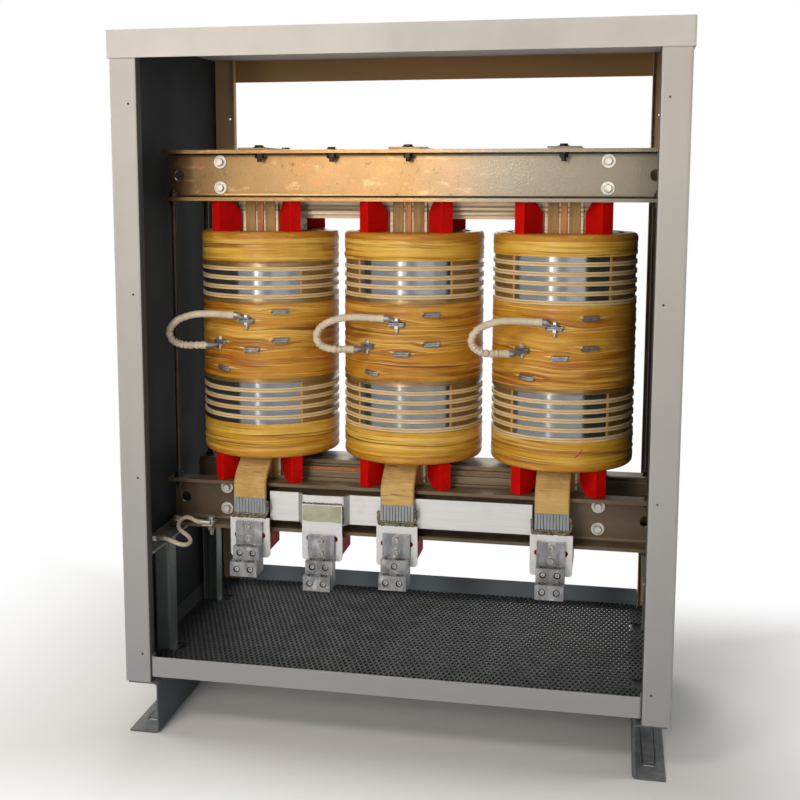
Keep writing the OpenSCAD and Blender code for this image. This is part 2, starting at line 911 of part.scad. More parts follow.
// Free taps, and the two taps of each coil that carry the jumper's lugs
module winding_taps() {
    color("lightgray")
        for (x = coil_x)
            translate([x, 0, 0]) {
                for (tap = tap_shares) tap_bar(tap[0], tap[1]);
                for (k = [0, 1])
                    union() {
                        tap_bar(joined_shares[k][0], joined_shares[k][1]);
                        jumper_lug(joined_shares[k], jumper_path[k * (len(jumper_path) - 1)]);
                    }
            }
}

// Lug from a joined tap to the end of the jumper: a tongue on or under the tap, and a round barrel
module jumper_lug(tap, tip) {
    tap_r = coil_r + slip + tap_t / 2;
    seat = [sin(tap[0]) * tap_r, -cos(tap[0]) * tap_r];
    tap_z = coil_low + tap[1] * coil_h;
    tongue_z = tip[2] > tap_z ? tap_z + tap_h / 2 - slip : tap_z - tap_h / 2 - lug_t + slip;
    translate([tip[0], tip[1] - tap_h / 2, tongue_z])
        cube([seat[0] + tap_h / 2 - tip[0], seat[1] + tap_h / 2 - tip[1], lug_t]);
    translate(tip) rotate([0, 90, 0]) cylinder(r = barrel_r, h = 2 * barrel_r, $fn = 32);
}

// Flat taped lead: down from the inner winding, forward and down to its pad
module lead(x) {
    path = [
        [-lead_start, coil_low], [-lead_start, coil_low - lead_neck],
        [-lead_front, low_clamp_top + lead_t], [-lead_front, pad_top]
    ];
    color("tan") translate([x, 0, 0]) along_x(lead_w) bent_strip(path, lead_t, lead_bend_r);
}

module left_lead() {
    lead(lead_x[0]);
}

module middle_lead() {
    lead(lead_x[1]);
}

module right_lead() {
    lead(lead_x[2]);
}

// Plate with round lower corners and two holes, upright in X and Z with its front at a depth
module pad_plate(x, front, low, height) {
    translate([x, -front + plate_t, low])
        rotate([90, 0, 0])
            linear_extrude(plate_t)
                difference() {
                    union() {
                        translate([-pad_w / 2, pad_corner_r]) square([pad_w, height - pad_corner_r]);
                        translate([-pad_w / 2 + pad_corner_r, 0])
                            square([pad_w - 2 * pad_corner_r, height]);
                        both_sides()
                            translate([pad_w / 2 - pad_corner_r, pad_corner_r])
                                circle(pad_corner_r, $fn = 32);
                    }
                    both_sides() translate([pad_hole_x, pad_hole_up]) circle(pad_hole_r, $fn = 32);
                }
}

module terminal_pads() {
    color("lightsteelblue")
        for (x = lead_x) pad_plate(x, pad_y, pad_low, pad_h);
}

// Flat bar with a hat that carries the neutral pad
module neutral_bus() {
    left = lead_x[0] + lead_w / 2 + plate_t;
    right = lead_x[2] - lead_w / 2 - plate_t;
    rear = -bus_y - plate_t / 2;
    front = -pad_y + plate_t / 2;
    foot = pad_w / 2 + 2 * plate_t;
    color("lightgray")
        union() {
            translate([0, 0, bus_top - bus_h])
                linear_extrude(bus_h)
                    bent_strip(
                        [
                            [left, rear], [neutral_x - foot, rear], [neutral_x - pad_w / 2, front],
                            [neutral_x + pad_w / 2, front], [neutral_x + foot, rear], [right, rear]
                        ],
                        plate_t, plate_t
                    );
            pad_plate(neutral_x, neutral_y, bus_top - neutral_drop - neutral_h, neutral_h);
        }
}

// Insulating blocks under the lower front clamp, up to the back of the pads
module standoffs() {
    depth = [for (back = lug_back) back - plate_t - clamp_back];
    color("firebrick")
        for (k = [0 : len(terminal_x) - 1])
            translate([terminal_x[k] - pad_w / 2, -lug_back[k] + plate_t, low_clamp_z - standoff_h])
                cube([pad_w, depth[k], standoff_h]);
}

// Stepped lug: tongue against the pad, two steps, and a row of cable bores through each step
module cable_lug(k) {
    tongue_low = lug_h - tongue_l;
    first = tongue_t + step_d;
    second = first + step_d;
    bore_x = lug_w / 4;
    color("lightgray")
        translate([terminal_x[k], -lug_back[k], lug_top[k] - lug_h])
            difference() {
                along_x(lug_w)
                    polygon([
                        [0, 0], [0, lug_h], [-tongue_t, lug_h], [-tongue_t, tongue_low],
                        [-first, tongue_low], [-first, tongue_low - step_h],
                        [-second, tongue_low - step_h], [-second, 0]
                    ]);
                for (x = [-bore_x, bore_x], y = [tongue_t + step_d / 2, first + step_d / 2])
                    translate([x, -y, -over]) cylinder(r = cable_r, h = lug_h + 2 * over, $fn = 32);
            }
}

module left_lug() {
    cable_lug(0);
}

module neutral_lug() {
    cable_lug(1);
}

module middle_lug() {
    cable_lug(2);
}

module right_lug() {
    cable_lug(3);
}

// Cables

module jumper(k) {
    color("antiquewhite") translate([coil_x[k], 0, 0]) swept_tube(jumper_path, jumper_r);
}

module left_jumper() {
    jumper(0);
}

module middle_jumper() {
    jumper(1);
}

module right_jumper() {
    jumper(2);
}

module ground_strap() {
    color("antiquewhite") swept_tube(strap_route, strap_r);
}

// Flat lugs at the strap's two ends, one on the clamp's lower flange and one on the shelf
module strap_lugs() {
    first = strap_route[0];
    last = strap_route[len(strap_route) - 1];
    color("lightgray") {
        union() {
            translate([first[0], first[1] - strap_lug_w / 2, low_clamp_z + clamp_t])
                cube([strap_lug_l, -rod_y - first[1] + strap_lug_w, lug_t]);
            translate(first) rotate([0, 90, 0]) cylinder(r = strap_r, h = strap_lug_w);
        }
        union() {
            translate([last[0] - strap_lug_l, last[1] - strap_lug_w / 2, shelf_z])
                cube([strap_lug_l, strap_lug_w, lug_t]);
            translate(last) rotate([0, -90, 0]) cylinder(r = strap_r, h = strap_lug_w);
        }
    }
}

top_cap();
front_left_post();
front_right_post();
rear_left_post();
rear_right_post();
left_side_panel();
right_side_panel();
front_base_rail();
rear_base_rail();
left_base_rail();
right_base_rail();
mesh_floor();
left_foot();
right_foot();
left_shelf();
right_shelf();
shelf_legs();
rubber_pads();
upper_front_clamp();
upper_rear_clamp();
lower_front_clamp();
lower_rear_clamp();
upper_yoke();
lower_yoke();
core_legs();
leg_boards();
leg_strips();
tie_plates();
tie_rods();
left_coil();
middle_coil();
right_coil();
bare_turns();
inner_windings();
duct_sticks();
upper_blocks();
lower_blocks();
winding_taps();
left_lead();
middle_lead();
right_lead();
terminal_pads();
neutral_bus();
standoffs();
left_lug();
neutral_lug();
middle_lug();
right_lug();
left_jumper();
middle_jumper();
right_jumper();
ground_strap();
strap_lugs();
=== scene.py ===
"""Looks of a dry-type power transformer: finishes, coils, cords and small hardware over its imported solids.

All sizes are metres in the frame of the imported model: X across the front, Y to the rear, Z up from the floor.
"""

from __future__ import annotations

import logging
import math
from dataclasses import dataclass, replace
from enum import Enum, IntEnum
from typing import Any, Sequence

import bmesh
import bpy
import numpy as np
from mathutils import Matrix, Vector


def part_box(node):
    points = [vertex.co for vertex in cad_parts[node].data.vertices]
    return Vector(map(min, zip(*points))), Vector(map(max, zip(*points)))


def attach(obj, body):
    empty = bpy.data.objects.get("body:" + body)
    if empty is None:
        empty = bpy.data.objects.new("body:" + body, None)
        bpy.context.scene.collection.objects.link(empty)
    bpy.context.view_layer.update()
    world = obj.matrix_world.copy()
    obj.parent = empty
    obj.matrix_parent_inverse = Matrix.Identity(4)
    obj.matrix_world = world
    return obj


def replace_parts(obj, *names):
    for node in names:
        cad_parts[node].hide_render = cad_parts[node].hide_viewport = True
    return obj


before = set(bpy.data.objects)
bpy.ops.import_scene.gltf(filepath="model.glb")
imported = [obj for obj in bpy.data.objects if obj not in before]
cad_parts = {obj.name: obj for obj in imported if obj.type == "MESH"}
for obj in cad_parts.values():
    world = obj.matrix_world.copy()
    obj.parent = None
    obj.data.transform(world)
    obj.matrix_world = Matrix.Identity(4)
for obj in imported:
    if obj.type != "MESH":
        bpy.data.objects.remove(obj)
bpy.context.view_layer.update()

LOG = logging.getLogger("transformer")
BODY = "root"
COIL_X = (-0.354, 0.0, 0.354)
SIDE_NAMES = ("left", "middle", "right")
CORNERS = ((-1, -1), (-1, 1), (1, -1), (1, 1))
MM = 0.001
WELD_GAP = 0.00001
SHARP_ANGLE = 38.0
WRAP = "wrap"

Colour = tuple[float, float, float, float]
Triple = tuple[float, float, float]
Pair = tuple[float, float]
Pairs = tuple[Pair, ...]

FRONTWARD: Triple = (0.0, -1.0, 0.0)
REARWARD: Triple = (0.0, 1.0, 0.0)
UPWARD: Triple = (0.0, 0.0, 1.0)
DOWNWARD: Triple = (0.0, 0.0, -1.0)


def tone(red: int, green: int, blue: int) -> Colour:
    """Turns a screen colour into the linear colour that a shader socket takes.

    Args:
        red: Red from 0 to 255.
        green: Green from 0 to 255.
        blue: Blue from 0 to 255.

    Returns:
        The linear colour with full alpha.
    """
    shares = (red / 255, green / 255, blue / 255)
    return (*(c / 12.92 if c <= 0.04045 else ((c + 0.055) / 1.055) ** 2.4 for c in shares), 1.0)


class Slot(Enum):
    """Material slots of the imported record."""

    ENCLOSURE = "enclosure"
    MESH = "mesh"
    RUBBER = "rubber"
    CLAMP = "clamp_steel"
    CORE = "core_steel"
    ROD = "rod_steel"
    RESIN = "coil_resin"
    TAPE = "glass_tape"
    BOARD = "duct_board"
    COPPER = "copper"
    RED = "red_board"
    ALUMINIUM = "aluminium"
    SLEEVE = "sleeve"


class Sheet:
    """A node tree with short calls for adding nodes and wiring them."""

    def __init__(self, tree: bpy.types.NodeTree) -> None:
        """Keeps the tree that the calls add to."""
        self.tree = tree

    def add(self, kind: str, sockets: dict[Any, Any] | None = None, **settings: Any) -> bpy.types.Node:
        """Adds one node.

        Args:
            kind: The node's type, without the ShaderNode in front.
            sockets: Input name or number, with the value to set or the socket to link.
            settings: Attributes of the node.

        Returns:
            The new node.
        """
        node = self.tree.nodes.new(kind if kind.startswith("NodeGroup") else f"ShaderNode{kind}")
        for key, value in settings.items():
            setattr(node, key, value)
        for key, value in (sockets or {}).items():
            if isinstance(value, bpy.types.NodeSocket):
                self.tree.links.new(value, node.inputs[key])
            else:
                node.inputs[key].default_value = value
        return node

    def mix(self, mask: Any, below: Any, above: Any) -> bpy.types.NodeSocket:
        """Lays one colour over another by a mask.

        Args:
            mask: Share of the upper colour.
            below: The lower colour.
            above: The upper colour.

        Returns:
            The mixed colour.
        """
        return self.add("Mix", {0: mask, 6: below, 7: above}, data_type="RGBA").outputs[2]


class Effects:
    """Shader groups that several finishes share."""

    FACING_UP = (0.45, 0.95)
    DUST_SCALE, DUST_CUT = 38.0, (0.3, 0.7)
    # Limits of the mask for painted light and shade on inside faces.
    INWARD_LIMIT, SHELL_X = -0.05, 0.6055
    # Heights over which the painted shade grows towards the floor.
    GRIME_FROM, GRIME_FULL = 1.35, 0.15
    # Reach and strength of the painted cool light on the right side.
    WASH_FROM, WASH_FULL, WASH_SHARE = 0.0, 0.22, 0.85

    @staticmethod
    def group(name: str, inputs: dict[str, str], outputs: dict[str, str]) -> tuple[bpy.types.NodeTree, bool]:
        """Finds a shader group, or makes it with its sockets.

        Args:
            name: The group's name.
            inputs: Input names with their socket types.
            outputs: Output names with their socket types.

        Returns:
            The group, and whether it is new and still empty.
        """
        found = bpy.data.node_groups.get(name)
        if found:
            return found, False
        tree = bpy.data.node_groups.new(name, "ShaderNodeTree")
        for way, sockets in (("INPUT", inputs), ("OUTPUT", outputs)):
            for label, kind in sockets.items():
                tree.interface.new_socket(name=label, in_out=way, socket_type=f"NodeSocket{kind}")
        return tree, True

    @classmethod
    def streaks(cls) -> bpy.types.NodeTree:
        """Noise pulled out along three axes and cut to a mask.

        Returns:
            The shader group.
        """
        ins = {"Place": "Vector", "Stretch": "Vector", "Scale": "Float", "Low": "Float", "High": "Float",
               "Amount": "Float"}
        tree, new = cls.group("Streaks", ins, {"Mask": "Float"})
        if new:
            s = Sheet(tree)
            given = s.add("NodeGroupInput").outputs
            pulled = s.add("VectorMath", {0: given["Place"], 1: given["Stretch"]}, operation="MULTIPLY").outputs[0]
            noise = s.add("TexNoise", {"Vector": pulled, "Scale": given["Scale"], "Detail": 5.0, "Roughness": 0.6})
            limits = {"Value": noise.outputs[0], "From Min": given["Low"], "From Max": given["High"],
                      "To Max": given["Amount"]}
            s.add("NodeGroupOutput", {"Mask": s.add("MapRange", limits).outputs[0]})
        return tree

    @classmethod
    def dust(cls) -> bpy.types.NodeTree:
        """Dust that lies on what faces up.

        Returns:
            The shader group.
        """
        tree, new = cls.group("Settled dust", {"Amount": "Float"}, {"Mask": "Float"})
        if new:
            s = Sheet(tree)
            given = s.add("NodeGroupInput").outputs
            facing = s.add("SeparateXYZ", {0: s.add("NewGeometry").outputs["Normal"]}).outputs["Z"]
            up = s.add("MapRange", {"Value": facing, "From Min": cls.FACING_UP[0], "From Max": cls.FACING_UP[1]})
            place = s.add("TexCoord").outputs["Object"]
            noise = s.add("TexNoise", {"Vector": place, "Scale": cls.DUST_SCALE, "Detail": 6.0, "Roughness": 0.65})
            limits = {"Value": noise.outputs[0], "From Min": cls.DUST_CUT[0], "From Max": cls.DUST_CUT[1]}
            patch = s.add("MapRange", limits)
            both = s.add("Math", {0: up.outputs[0], 1: patch.outputs[0]}, operation="MULTIPLY")
            out = s.add("Math", {0: both.outputs[0], 1: given["Amount"]}, operation="MULTIPLY")
            s.add("NodeGroupOutput", {"Mask": out.outputs[0]})
        return tree

    @classmethod
    def inward(cls) -> bpy.types.NodeTree:
        """Faces that look towards the object's upright middle line: the mask for painted light and shade on inside
        faces.

        Returns:
            The shader group.
        """
        tree, new = cls.group("Inward faces", {}, {"Mask": "Float"})
        if new:
            s = Sheet(tree)
            flat = {1: (1.0, 1.0, 0.0)}
            place = s.add("VectorMath", {0: s.add("TexCoord").outputs["Object"], **flat}, operation="MULTIPLY")
            facing = s.add("NewGeometry").outputs["Normal"]
            way = s.add("VectorMath", {0: place.outputs[0], 1: facing}, operation="DOT_PRODUCT").outputs["Value"]
            turned = s.add("Math", {0: way, 1: cls.INWARD_LIMIT}, operation="LESS_THAN").outputs[0]
            across = s.add("SeparateXYZ", {0: place.outputs[0]}).outputs["X"]
            out = s.add("Math", {0: across}, operation="ABSOLUTE").outputs[0]
            within = s.add("Math", {0: out, 1: cls.SHELL_X}, operation="LESS_THAN").outputs[0]
            both = s.add("Math", {0: turned, 1: within}, operation="MULTIPLY").outputs[0]
            s.add("NodeGroupOutput", {"Mask": both})
        return tree

    @classmethod
    def grime(cls) -> bpy.types.NodeTree:
        """Painted shade that grows towards the floor.

        Returns:
            The shader group.
        """
        tree, new = cls.group("Low grime", {"Amount": "Float"}, {"Mask": "Float"})
        if new:
            s = Sheet(tree)
            given = s.add("NodeGroupInput").outputs
            height = s.add("SeparateXYZ", {0: s.add("TexCoord").outputs["Object"]}).outputs["Z"]
            limits = {"Value": height, "From Min": cls.GRIME_FROM, "From Max": cls.GRIME_FULL,
                      "To Max": given["Amount"]}
            s.add("NodeGroupOutput", {"Mask": s.add("MapRange", limits).outputs[0]})
        return tree

    @classmethod
    def rightward(cls) -> bpy.types.NodeTree:
        """Painted cool light: a change of tone from the middle of the object to its right.

        Returns:
            The shader group.
        """
        tree, new = cls.group("Right side", {}, {"Mask": "Float"})
        if new:
            s = Sheet(tree)
            across = s.add("SeparateXYZ", {0: s.add("TexCoord").outputs["Object"]}).outputs["X"]
            limits = {"Value": across, "From Min": cls.WASH_FROM, "From Max": cls.WASH_FULL,
                      "To Max": cls.WASH_SHARE}
            s.add("NodeGroupOutput", {"Mask": s.add("MapRange", limits).outputs[0]})
        return tree

    @classmethod
    def weave(cls) -> bpy.types.NodeTree:
        """Crossing threads along the wrap coordinates of a swept piece.

        Returns:
            The shader group.
        """
        ins = {"Round": "Float", "Along": "Float"}
        tree, new = cls.group("Weave", ins, {"Height": "Float"})
        if new:
            s = Sheet(tree)
            given = s.add("NodeGroupInput").outputs
            wrap = s.add("SeparateXYZ", {0: s.add("UVMap", uv_map=WRAP).outputs[0]}).outputs
            u = s.add("Math", {0: wrap["X"], 1: given["Round"]}, operation="MULTIPLY").outputs[0]
            v = s.add("Math", {0: wrap["Y"], 1: given["Along"]}, operation="MULTIPLY").outputs[0]
            waves = []
            for way in ("ADD", "SUBTRACT"):
                turn = s.add("Math", {0: u, 1: v}, operation=way).outputs[0]
                angle = s.add("Math", {0: turn, 1: math.tau}, operation="MULTIPLY").outputs[0]
                waves.append(s.add("Math", {0: angle}, operation="SINE").outputs[0])
            both = s.add("Math", {0: waves[0], 1: waves[1]}, operation="MULTIPLY").outputs[0]
            height = s.add("MapRange", {"Value": both, "From Min": -1.0, "From Max": 1.0})
            s.add("NodeGroupOutput", {"Height": height.outputs[0]})
        return tree


@dataclass(frozen=True)
class Layer:
    """One tone that lies over a finish where a stretched noise is high.

    Attributes:
        tone: The tone on top.
        stretch: How much faster the noise changes along each axis.
        scale: Scale of the noise.
        low: Noise at which the tone starts to show.
        high: Noise at which it shows in full.
        amount: Its strength where it shows in full.
    """

    tone: Colour
    stretch: Triple
    scale: float
    low: float
    high: float
    amount: float = 1.0


@dataclass(frozen=True)
class Finish:
    """One surface: a base tone under layers of other tones, with gloss and fine relief."""

    GRAIN_CUT, GRAIN_STRENGTH = (0.25, 0.75), 0.7
    WEAVE_STRENGTH, WEAVE_DEEP = 0.8, 0.0006
    GLOSS_SCALE, GLOSS_CUT = 2.3, (0.3, 0.7)
    BRUSH_TURN = 0.25

    name: str
    slot: Slot
    base: Colour
    layers: tuple[Layer, ...]
    metallic: float = 0.0
    rough: Pair = (0.4, 0.55)
    specular: float = 0.5
    coat: float = 0.0
    coat_rough: float = 0.2
    relief: float = 0.0
    relief_scale: float = 400.0
    relief_stretch: Triple = (1.0, 1.0, 1.0)
    dust: float = 0.0
    # Strength of the painted shade towards the floor.
    grime: float = 0.0
    weave: Pair | None = None
    wrapped: bool = False
    brushed: float = 0.0
    # Tone on inside faces, which stands for painted light and shade inside the enclosure.
    inside: Colour | None = None
    # Tone of the painted cool light on the right side.
    right: Colour | None = None
    dust_tone: Colour = tone(176, 168, 152)
    # Tone of the painted shade towards the floor.
    grime_tone: Colour = tone(145, 148, 153)

    def place(self, sheet: Sheet) -> bpy.types.NodeSocket:
        """Finds the coordinates that the noises follow.

        Args:
            sheet: The material's nodes.

        Returns:
            The object's coordinates, with the wrap's level for height where the finish is wound on.
        """
        spot = sheet.add("TexCoord").outputs["Object"]
        if not self.wrapped:
            return spot
        axes = sheet.add("SeparateXYZ", {0: spot}).outputs
        level = sheet.add("SeparateXYZ", {0: sheet.add("UVMap", uv_map=WRAP).outputs[0]}).outputs["Y"]
        return sheet.add("CombineXYZ", {"X": axes["X"], "Y": axes["Y"], "Z": level}).outputs[0]

    @staticmethod
    def streak(sheet: Sheet, spot: bpy.types.NodeSocket, layer: Layer) -> bpy.types.NodeSocket:
        """Places the streak group with a layer's values.

        Args:
            sheet: The material's nodes.
            spot: Coordinates that the noise follows.
            layer: The layer.

        Returns:
            The mask's socket.
        """
        values = {"Place": spot, "Stretch": layer.stretch, "Scale": layer.scale, "Low": layer.low,
                  "High": layer.high, "Amount": layer.amount}
        return sheet.add("Group", values, node_tree=Effects.streaks()).outputs["Mask"]

    def normal(self, sheet: Sheet, spot: bpy.types.NodeSocket) -> bpy.types.NodeSocket | None:
        """Lays fine relief and weave over the surface.

        Args:
            sheet: The material's nodes.
            spot: Coordinates that the relief follows.

        Returns:
            The bumped normal, or None for a finish without relief.
        """
        bumped = None
        if self.relief:
            grain = Layer(self.base, self.relief_stretch, self.relief_scale, *self.GRAIN_CUT)
            height = self.streak(sheet, spot, grain)
            sockets = {"Height": height, "Strength": self.GRAIN_STRENGTH, "Distance": self.relief}
            bumped = sheet.add("Bump", sockets).outputs[0]
        if self.weave:
            counts = {"Round": self.weave[0], "Along": self.weave[1]}
            threads = sheet.add("Group", counts, node_tree=Effects.weave()).outputs["Height"]
            sockets = {"Height": threads, "Strength": self.WEAVE_STRENGTH, "Distance": self.WEAVE_DEEP}
            if bumped:
                sockets["Normal"] = bumped
            bumped = sheet.add("Bump", sockets).outputs[0]
        return bumped

    @staticmethod
    def wash(sheet: Sheet, colour: Any, group: bpy.types.NodeTree, over: Colour, amount: float | None = None) -> Any:
        """Lays one tone over a colour by a shared mask.

        Args:
            sheet: The material's nodes.
            colour: The colour so far.
            group: The shader group that gives the mask.
            over: The tone on top.
            amount: The group's amount, where it has one.

        Returns:
            The mixed colour.
        """
        sockets = {} if amount is None else {"Amount": amount}
        return sheet.mix(sheet.add("Group", sockets, node_tree=group).outputs["Mask"], colour, over)

    def material(self) -> bpy.types.Material:
        """Finds this finish's material, or builds its nodes.

        Returns:
            The material.
        """
        found = bpy.data.materials.get(self.name)
        if found:
            return found
        made = bpy.data.materials.new(self.name)
        made.use_nodes = True
        made.node_tree.nodes.clear()
        s = Sheet(made.node_tree)
        spot = self.place(s)
        colour: Any = self.base
        for layer in self.layers:
            colour = s.mix(self.streak(s, spot, layer), colour, layer.tone)
        # Painted shade towards the floor.
        if self.grime:
            colour = self.wash(s, colour, Effects.grime(), self.grime_tone, self.grime)
        # Painted cool light on the right side.
        if self.right:
            colour = self.wash(s, colour, Effects.rightward(), self.right)
        # Painted light and shade on inside faces.
        if self.inside:
            colour = self.wash(s, colour, Effects.inward(), self.inside)
        if self.dust:
            colour = self.wash(s, colour, Effects.dust(), self.dust_tone, self.dust)
        first = self.layers[0]
        sheen = Layer(first.tone, first.stretch, first.scale * self.GLOSS_SCALE, *self.GLOSS_CUT)
        gloss = self.streak(s, spot, sheen)
        rough = s.add("MapRange", {"Value": gloss, "To Min": self.rough[0], "To Max": self.rough[1]}).outputs[0]
        values = {"Base Color": colour, "Metallic": self.metallic, "Roughness": rough,
                  "Specular IOR Level": self.specular, "Coat Weight": self.coat, "Coat Roughness": self.coat_rough}
        bumped = self.normal(s, spot)
        if bumped:
            values["Normal"] = bumped
        if self.brushed:
            values["Anisotropic"] = self.brushed
            values["Anisotropic Rotation"] = self.BRUSH_TURN
            values["Tangent"] = s.add("Tangent", direction_type="RADIAL", axis="Z").outputs[0]
        s.add("OutputMaterial", {"Surface": s.add("BsdfPrincipled", values).outputs[0]})
        return made


EVEN: Triple = (1.0, 1.0, 1.0)
LEVEL: Triple = (0.12, 0.12, 1.0)
UPRIGHT: Triple = (1.0, 1.0, 0.1)

# Grey paint; its inside tone is painted shade, and it darkens towards the floor as painted shade.
PAINT = Finish(
    "grey_paint", Slot.ENCLOSURE, tone(190, 187, 182),
    (Layer(tone(178, 176, 173), EVEN, 2.2, 0.35, 0.7, 0.8),
     Layer(tone(160, 156, 150), UPRIGHT, 7.0, 0.56, 0.8, 0.35),
     Layer(tone(130, 124, 115), EVEN, 42.0, 0.66, 0.78, 0.25)),
    rough=(0.5, 0.64), specular=0.1, relief=0.0002, relief_scale=900.0, dust=0.3, grime=0.9,
    inside=tone(84, 84, 84),
)
# Copies of the grey paint whose inside tones are painted light and shade: painted shade inside the side panels,
# painted warm light inside the cap and rear posts, painted bluish shade inside the rear base rail.
PANEL = replace(PAINT, name="panel_paint", inside=tone(58, 61, 63), specular=0.04)
CAP = replace(PAINT, name="cap_paint", base=tone(208, 205, 200), inside=tone(184, 148, 102))
REAR_POST = replace(PAINT, name="rear_post_paint", inside=tone(212, 182, 142))
RAIL = replace(PAINT, name="rail_paint", inside=tone(122, 136, 148))
# Feet: slate-coloured paint, its tone darkened further as painted shade.
SLATE = Finish(
    "slate_paint", Slot.ENCLOSURE, tone(86, 94, 102),
    (Layer(tone(70, 75, 80), EVEN, 4.0, 0.35, 0.7, 0.9),
     Layer(tone(116, 108, 94), EVEN, 18.0, 0.6, 0.75, 0.45),
     Layer(tone(48, 48, 46), LEVEL, 30.0, 0.6, 0.8, 0.5)),
    rough=(0.42, 0.6), specular=0.28, relief=0.0003, relief_scale=700.0, dust=0.35,
)
SHELF = Finish(
    "shelf_steel", Slot.ENCLOSURE, tone(126, 134, 130),
    (Layer(tone(92, 98, 94), EVEN, 5.0, 0.35, 0.7, 0.9),
     Layer(tone(104, 76, 46), EVEN, 16.0, 0.58, 0.74, 0.6),
     Layer(tone(116, 116, 110), UPRIGHT, 26.0, 0.62, 0.8, 0.45)),
    metallic=0.2, rough=(0.45, 0.65), specular=0.3, relief=0.0003, relief_scale=600.0, dust=0.25,
)
MESH_STEEL = Finish(
    "mesh_steel", Slot.MESH, tone(56, 61, 66),
    (Layer(tone(66, 70, 73), EVEN, 9.0, 0.42, 0.66, 0.8),
     Layer(tone(72, 60, 46), EVEN, 5.0, 0.62, 0.76, 0.5),
     Layer(tone(36, 36, 35), EVEN, 60.0, 0.55, 0.75, 0.7)),
    rough=(0.5, 0.7), specular=0.08, relief=0.0002, relief_scale=800.0, dust=0.08,
)
RUBBER = Finish(
    "black_rubber", Slot.RUBBER, tone(38, 37, 36),
    (Layer(tone(58, 56, 53), EVEN, 40.0, 0.5, 0.75, 0.8),),
    rough=(0.6, 0.8), relief=0.0002, relief_scale=900.0, dust=0.3,
)
CLAMP = Finish(
    "mill_scale", Slot.CLAMP, tone(122, 97, 65),
    (Layer(tone(140, 110, 72), (1.0, 1.0, 1.6), 2.2, 0.44, 0.7, 0.8),
     Layer(tone(100, 80, 54), (0.5, 1.0, 1.0), 7.0, 0.5, 0.75, 0.6),
     Layer(tone(150, 96, 58), (0.6, 1.0, 1.2), 11.0, 0.58, 0.72, 0.5),
     Layer(tone(84, 66, 44), EVEN, 30.0, 0.6, 0.74, 0.6),
     Layer(tone(172, 138, 96), (0.5, 1.0, 1.6), 34.0, 0.58, 0.68, 0.6),
     Layer(tone(66, 50, 34), EVEN, 75.0, 0.62, 0.7, 0.6)),
    metallic=0.85, rough=(0.27, 0.36), relief=0.0002, relief_scale=260.0, dust=0.2,
    # Greyer right side: painted cool light.
    right=tone(113, 109, 99),
)
# Lower clamps: a darker copy of the mill scale, which stands for painted shade.
DARK_CLAMP = Finish(
    "dark_scale", Slot.CLAMP, tone(92, 76, 56),
    (Layer(tone(112, 94, 68), (1.0, 1.0, 1.6), 2.6, 0.42, 0.7, 0.8),
     Layer(tone(70, 56, 40), (0.5, 1.0, 1.0), 8.0, 0.48, 0.72, 0.7),
     Layer(tone(128, 108, 80), EVEN, 22.0, 0.64, 0.8, 0.4)),
    metallic=0.35, rough=(0.4, 0.56), relief=0.0002, relief_scale=260.0, dust=0.2,
)
CORE = Finish(
    "core_sheet", Slot.CORE, tone(206, 182, 150),
    (Layer(tone(166, 152, 138), (0.2, 1.0, 1.0), 8.0, 0.42, 0.7, 0.8),
     Layer(tone(112, 94, 74), (0.04, 3.0, 3.0), 60.0, 0.56, 0.68, 0.7),
     Layer(tone(230, 206, 170), (0.05, 2.0, 2.0), 40.0, 0.58, 0.72, 0.7),
     Layer(tone(88, 74, 58), (0.02, 0.3, 4.0), 20.0, 0.54, 0.6, 0.75)),
    metallic=0.4, rough=(0.4, 0.56), relief=0.0004, relief_scale=500.0, relief_stretch=(0.03, 2.0, 2.0),
)
# Lower yoke: a darker copy of the core sheet, which stands for painted shade.
DARK_CORE = Finish(
    "aged_core", Slot.CORE, tone(108, 92, 70),
    (Layer(tone(140, 122, 96), (0.1, 1.0, 2.0), 16.0, 0.45, 0.68, 0.8),
     Layer(tone(66, 52, 36), (0.04, 3.0, 3.0), 60.0, 0.52, 0.66, 0.8)),
    metallic=0.35, rough=(0.42, 0.6), relief=0.0004, relief_scale=500.0, relief_stretch=(0.03, 2.0, 2.0),
)
ROD = Finish(
    "dark_rod", Slot.ROD, tone(46, 38, 32),
    (Layer(tone(76, 62, 48), EVEN, 30.0, 0.5, 0.7, 0.7),),
    metallic=0.5, rough=(0.42, 0.6), relief=0.0003, relief_scale=500.0,
)
ZINC = Finish(
    "zinc_plate", Slot.ROD, tone(190, 187, 178),
    (Layer(tone(140, 136, 126), EVEN, 60.0, 0.45, 0.7, 0.8),
     Layer(tone(224, 218, 202), EVEN, 24.0, 0.55, 0.7, 0.6)),
    metallic=0.75, rough=(0.28, 0.46), relief=0.0001, relief_scale=900.0,
)
BLACK_BOLT = Finish(
    "dark_bolt", Slot.ROD, tone(46, 41, 36),
    (Layer(tone(92, 82, 68), EVEN, 80.0, 0.54, 0.7, 0.7),),
    metallic=0.6, rough=(0.34, 0.52), relief=0.0001, relief_scale=900.0,
)
SET_SCREW = Finish(
    "set_screw", Slot.ROD, tone(166, 165, 162),
    (Layer(tone(118, 114, 108), EVEN, 90.0, 0.45, 0.68, 0.8),),
    metallic=0.7, rough=(0.32, 0.5), relief=0.0001, relief_scale=900.0,
)
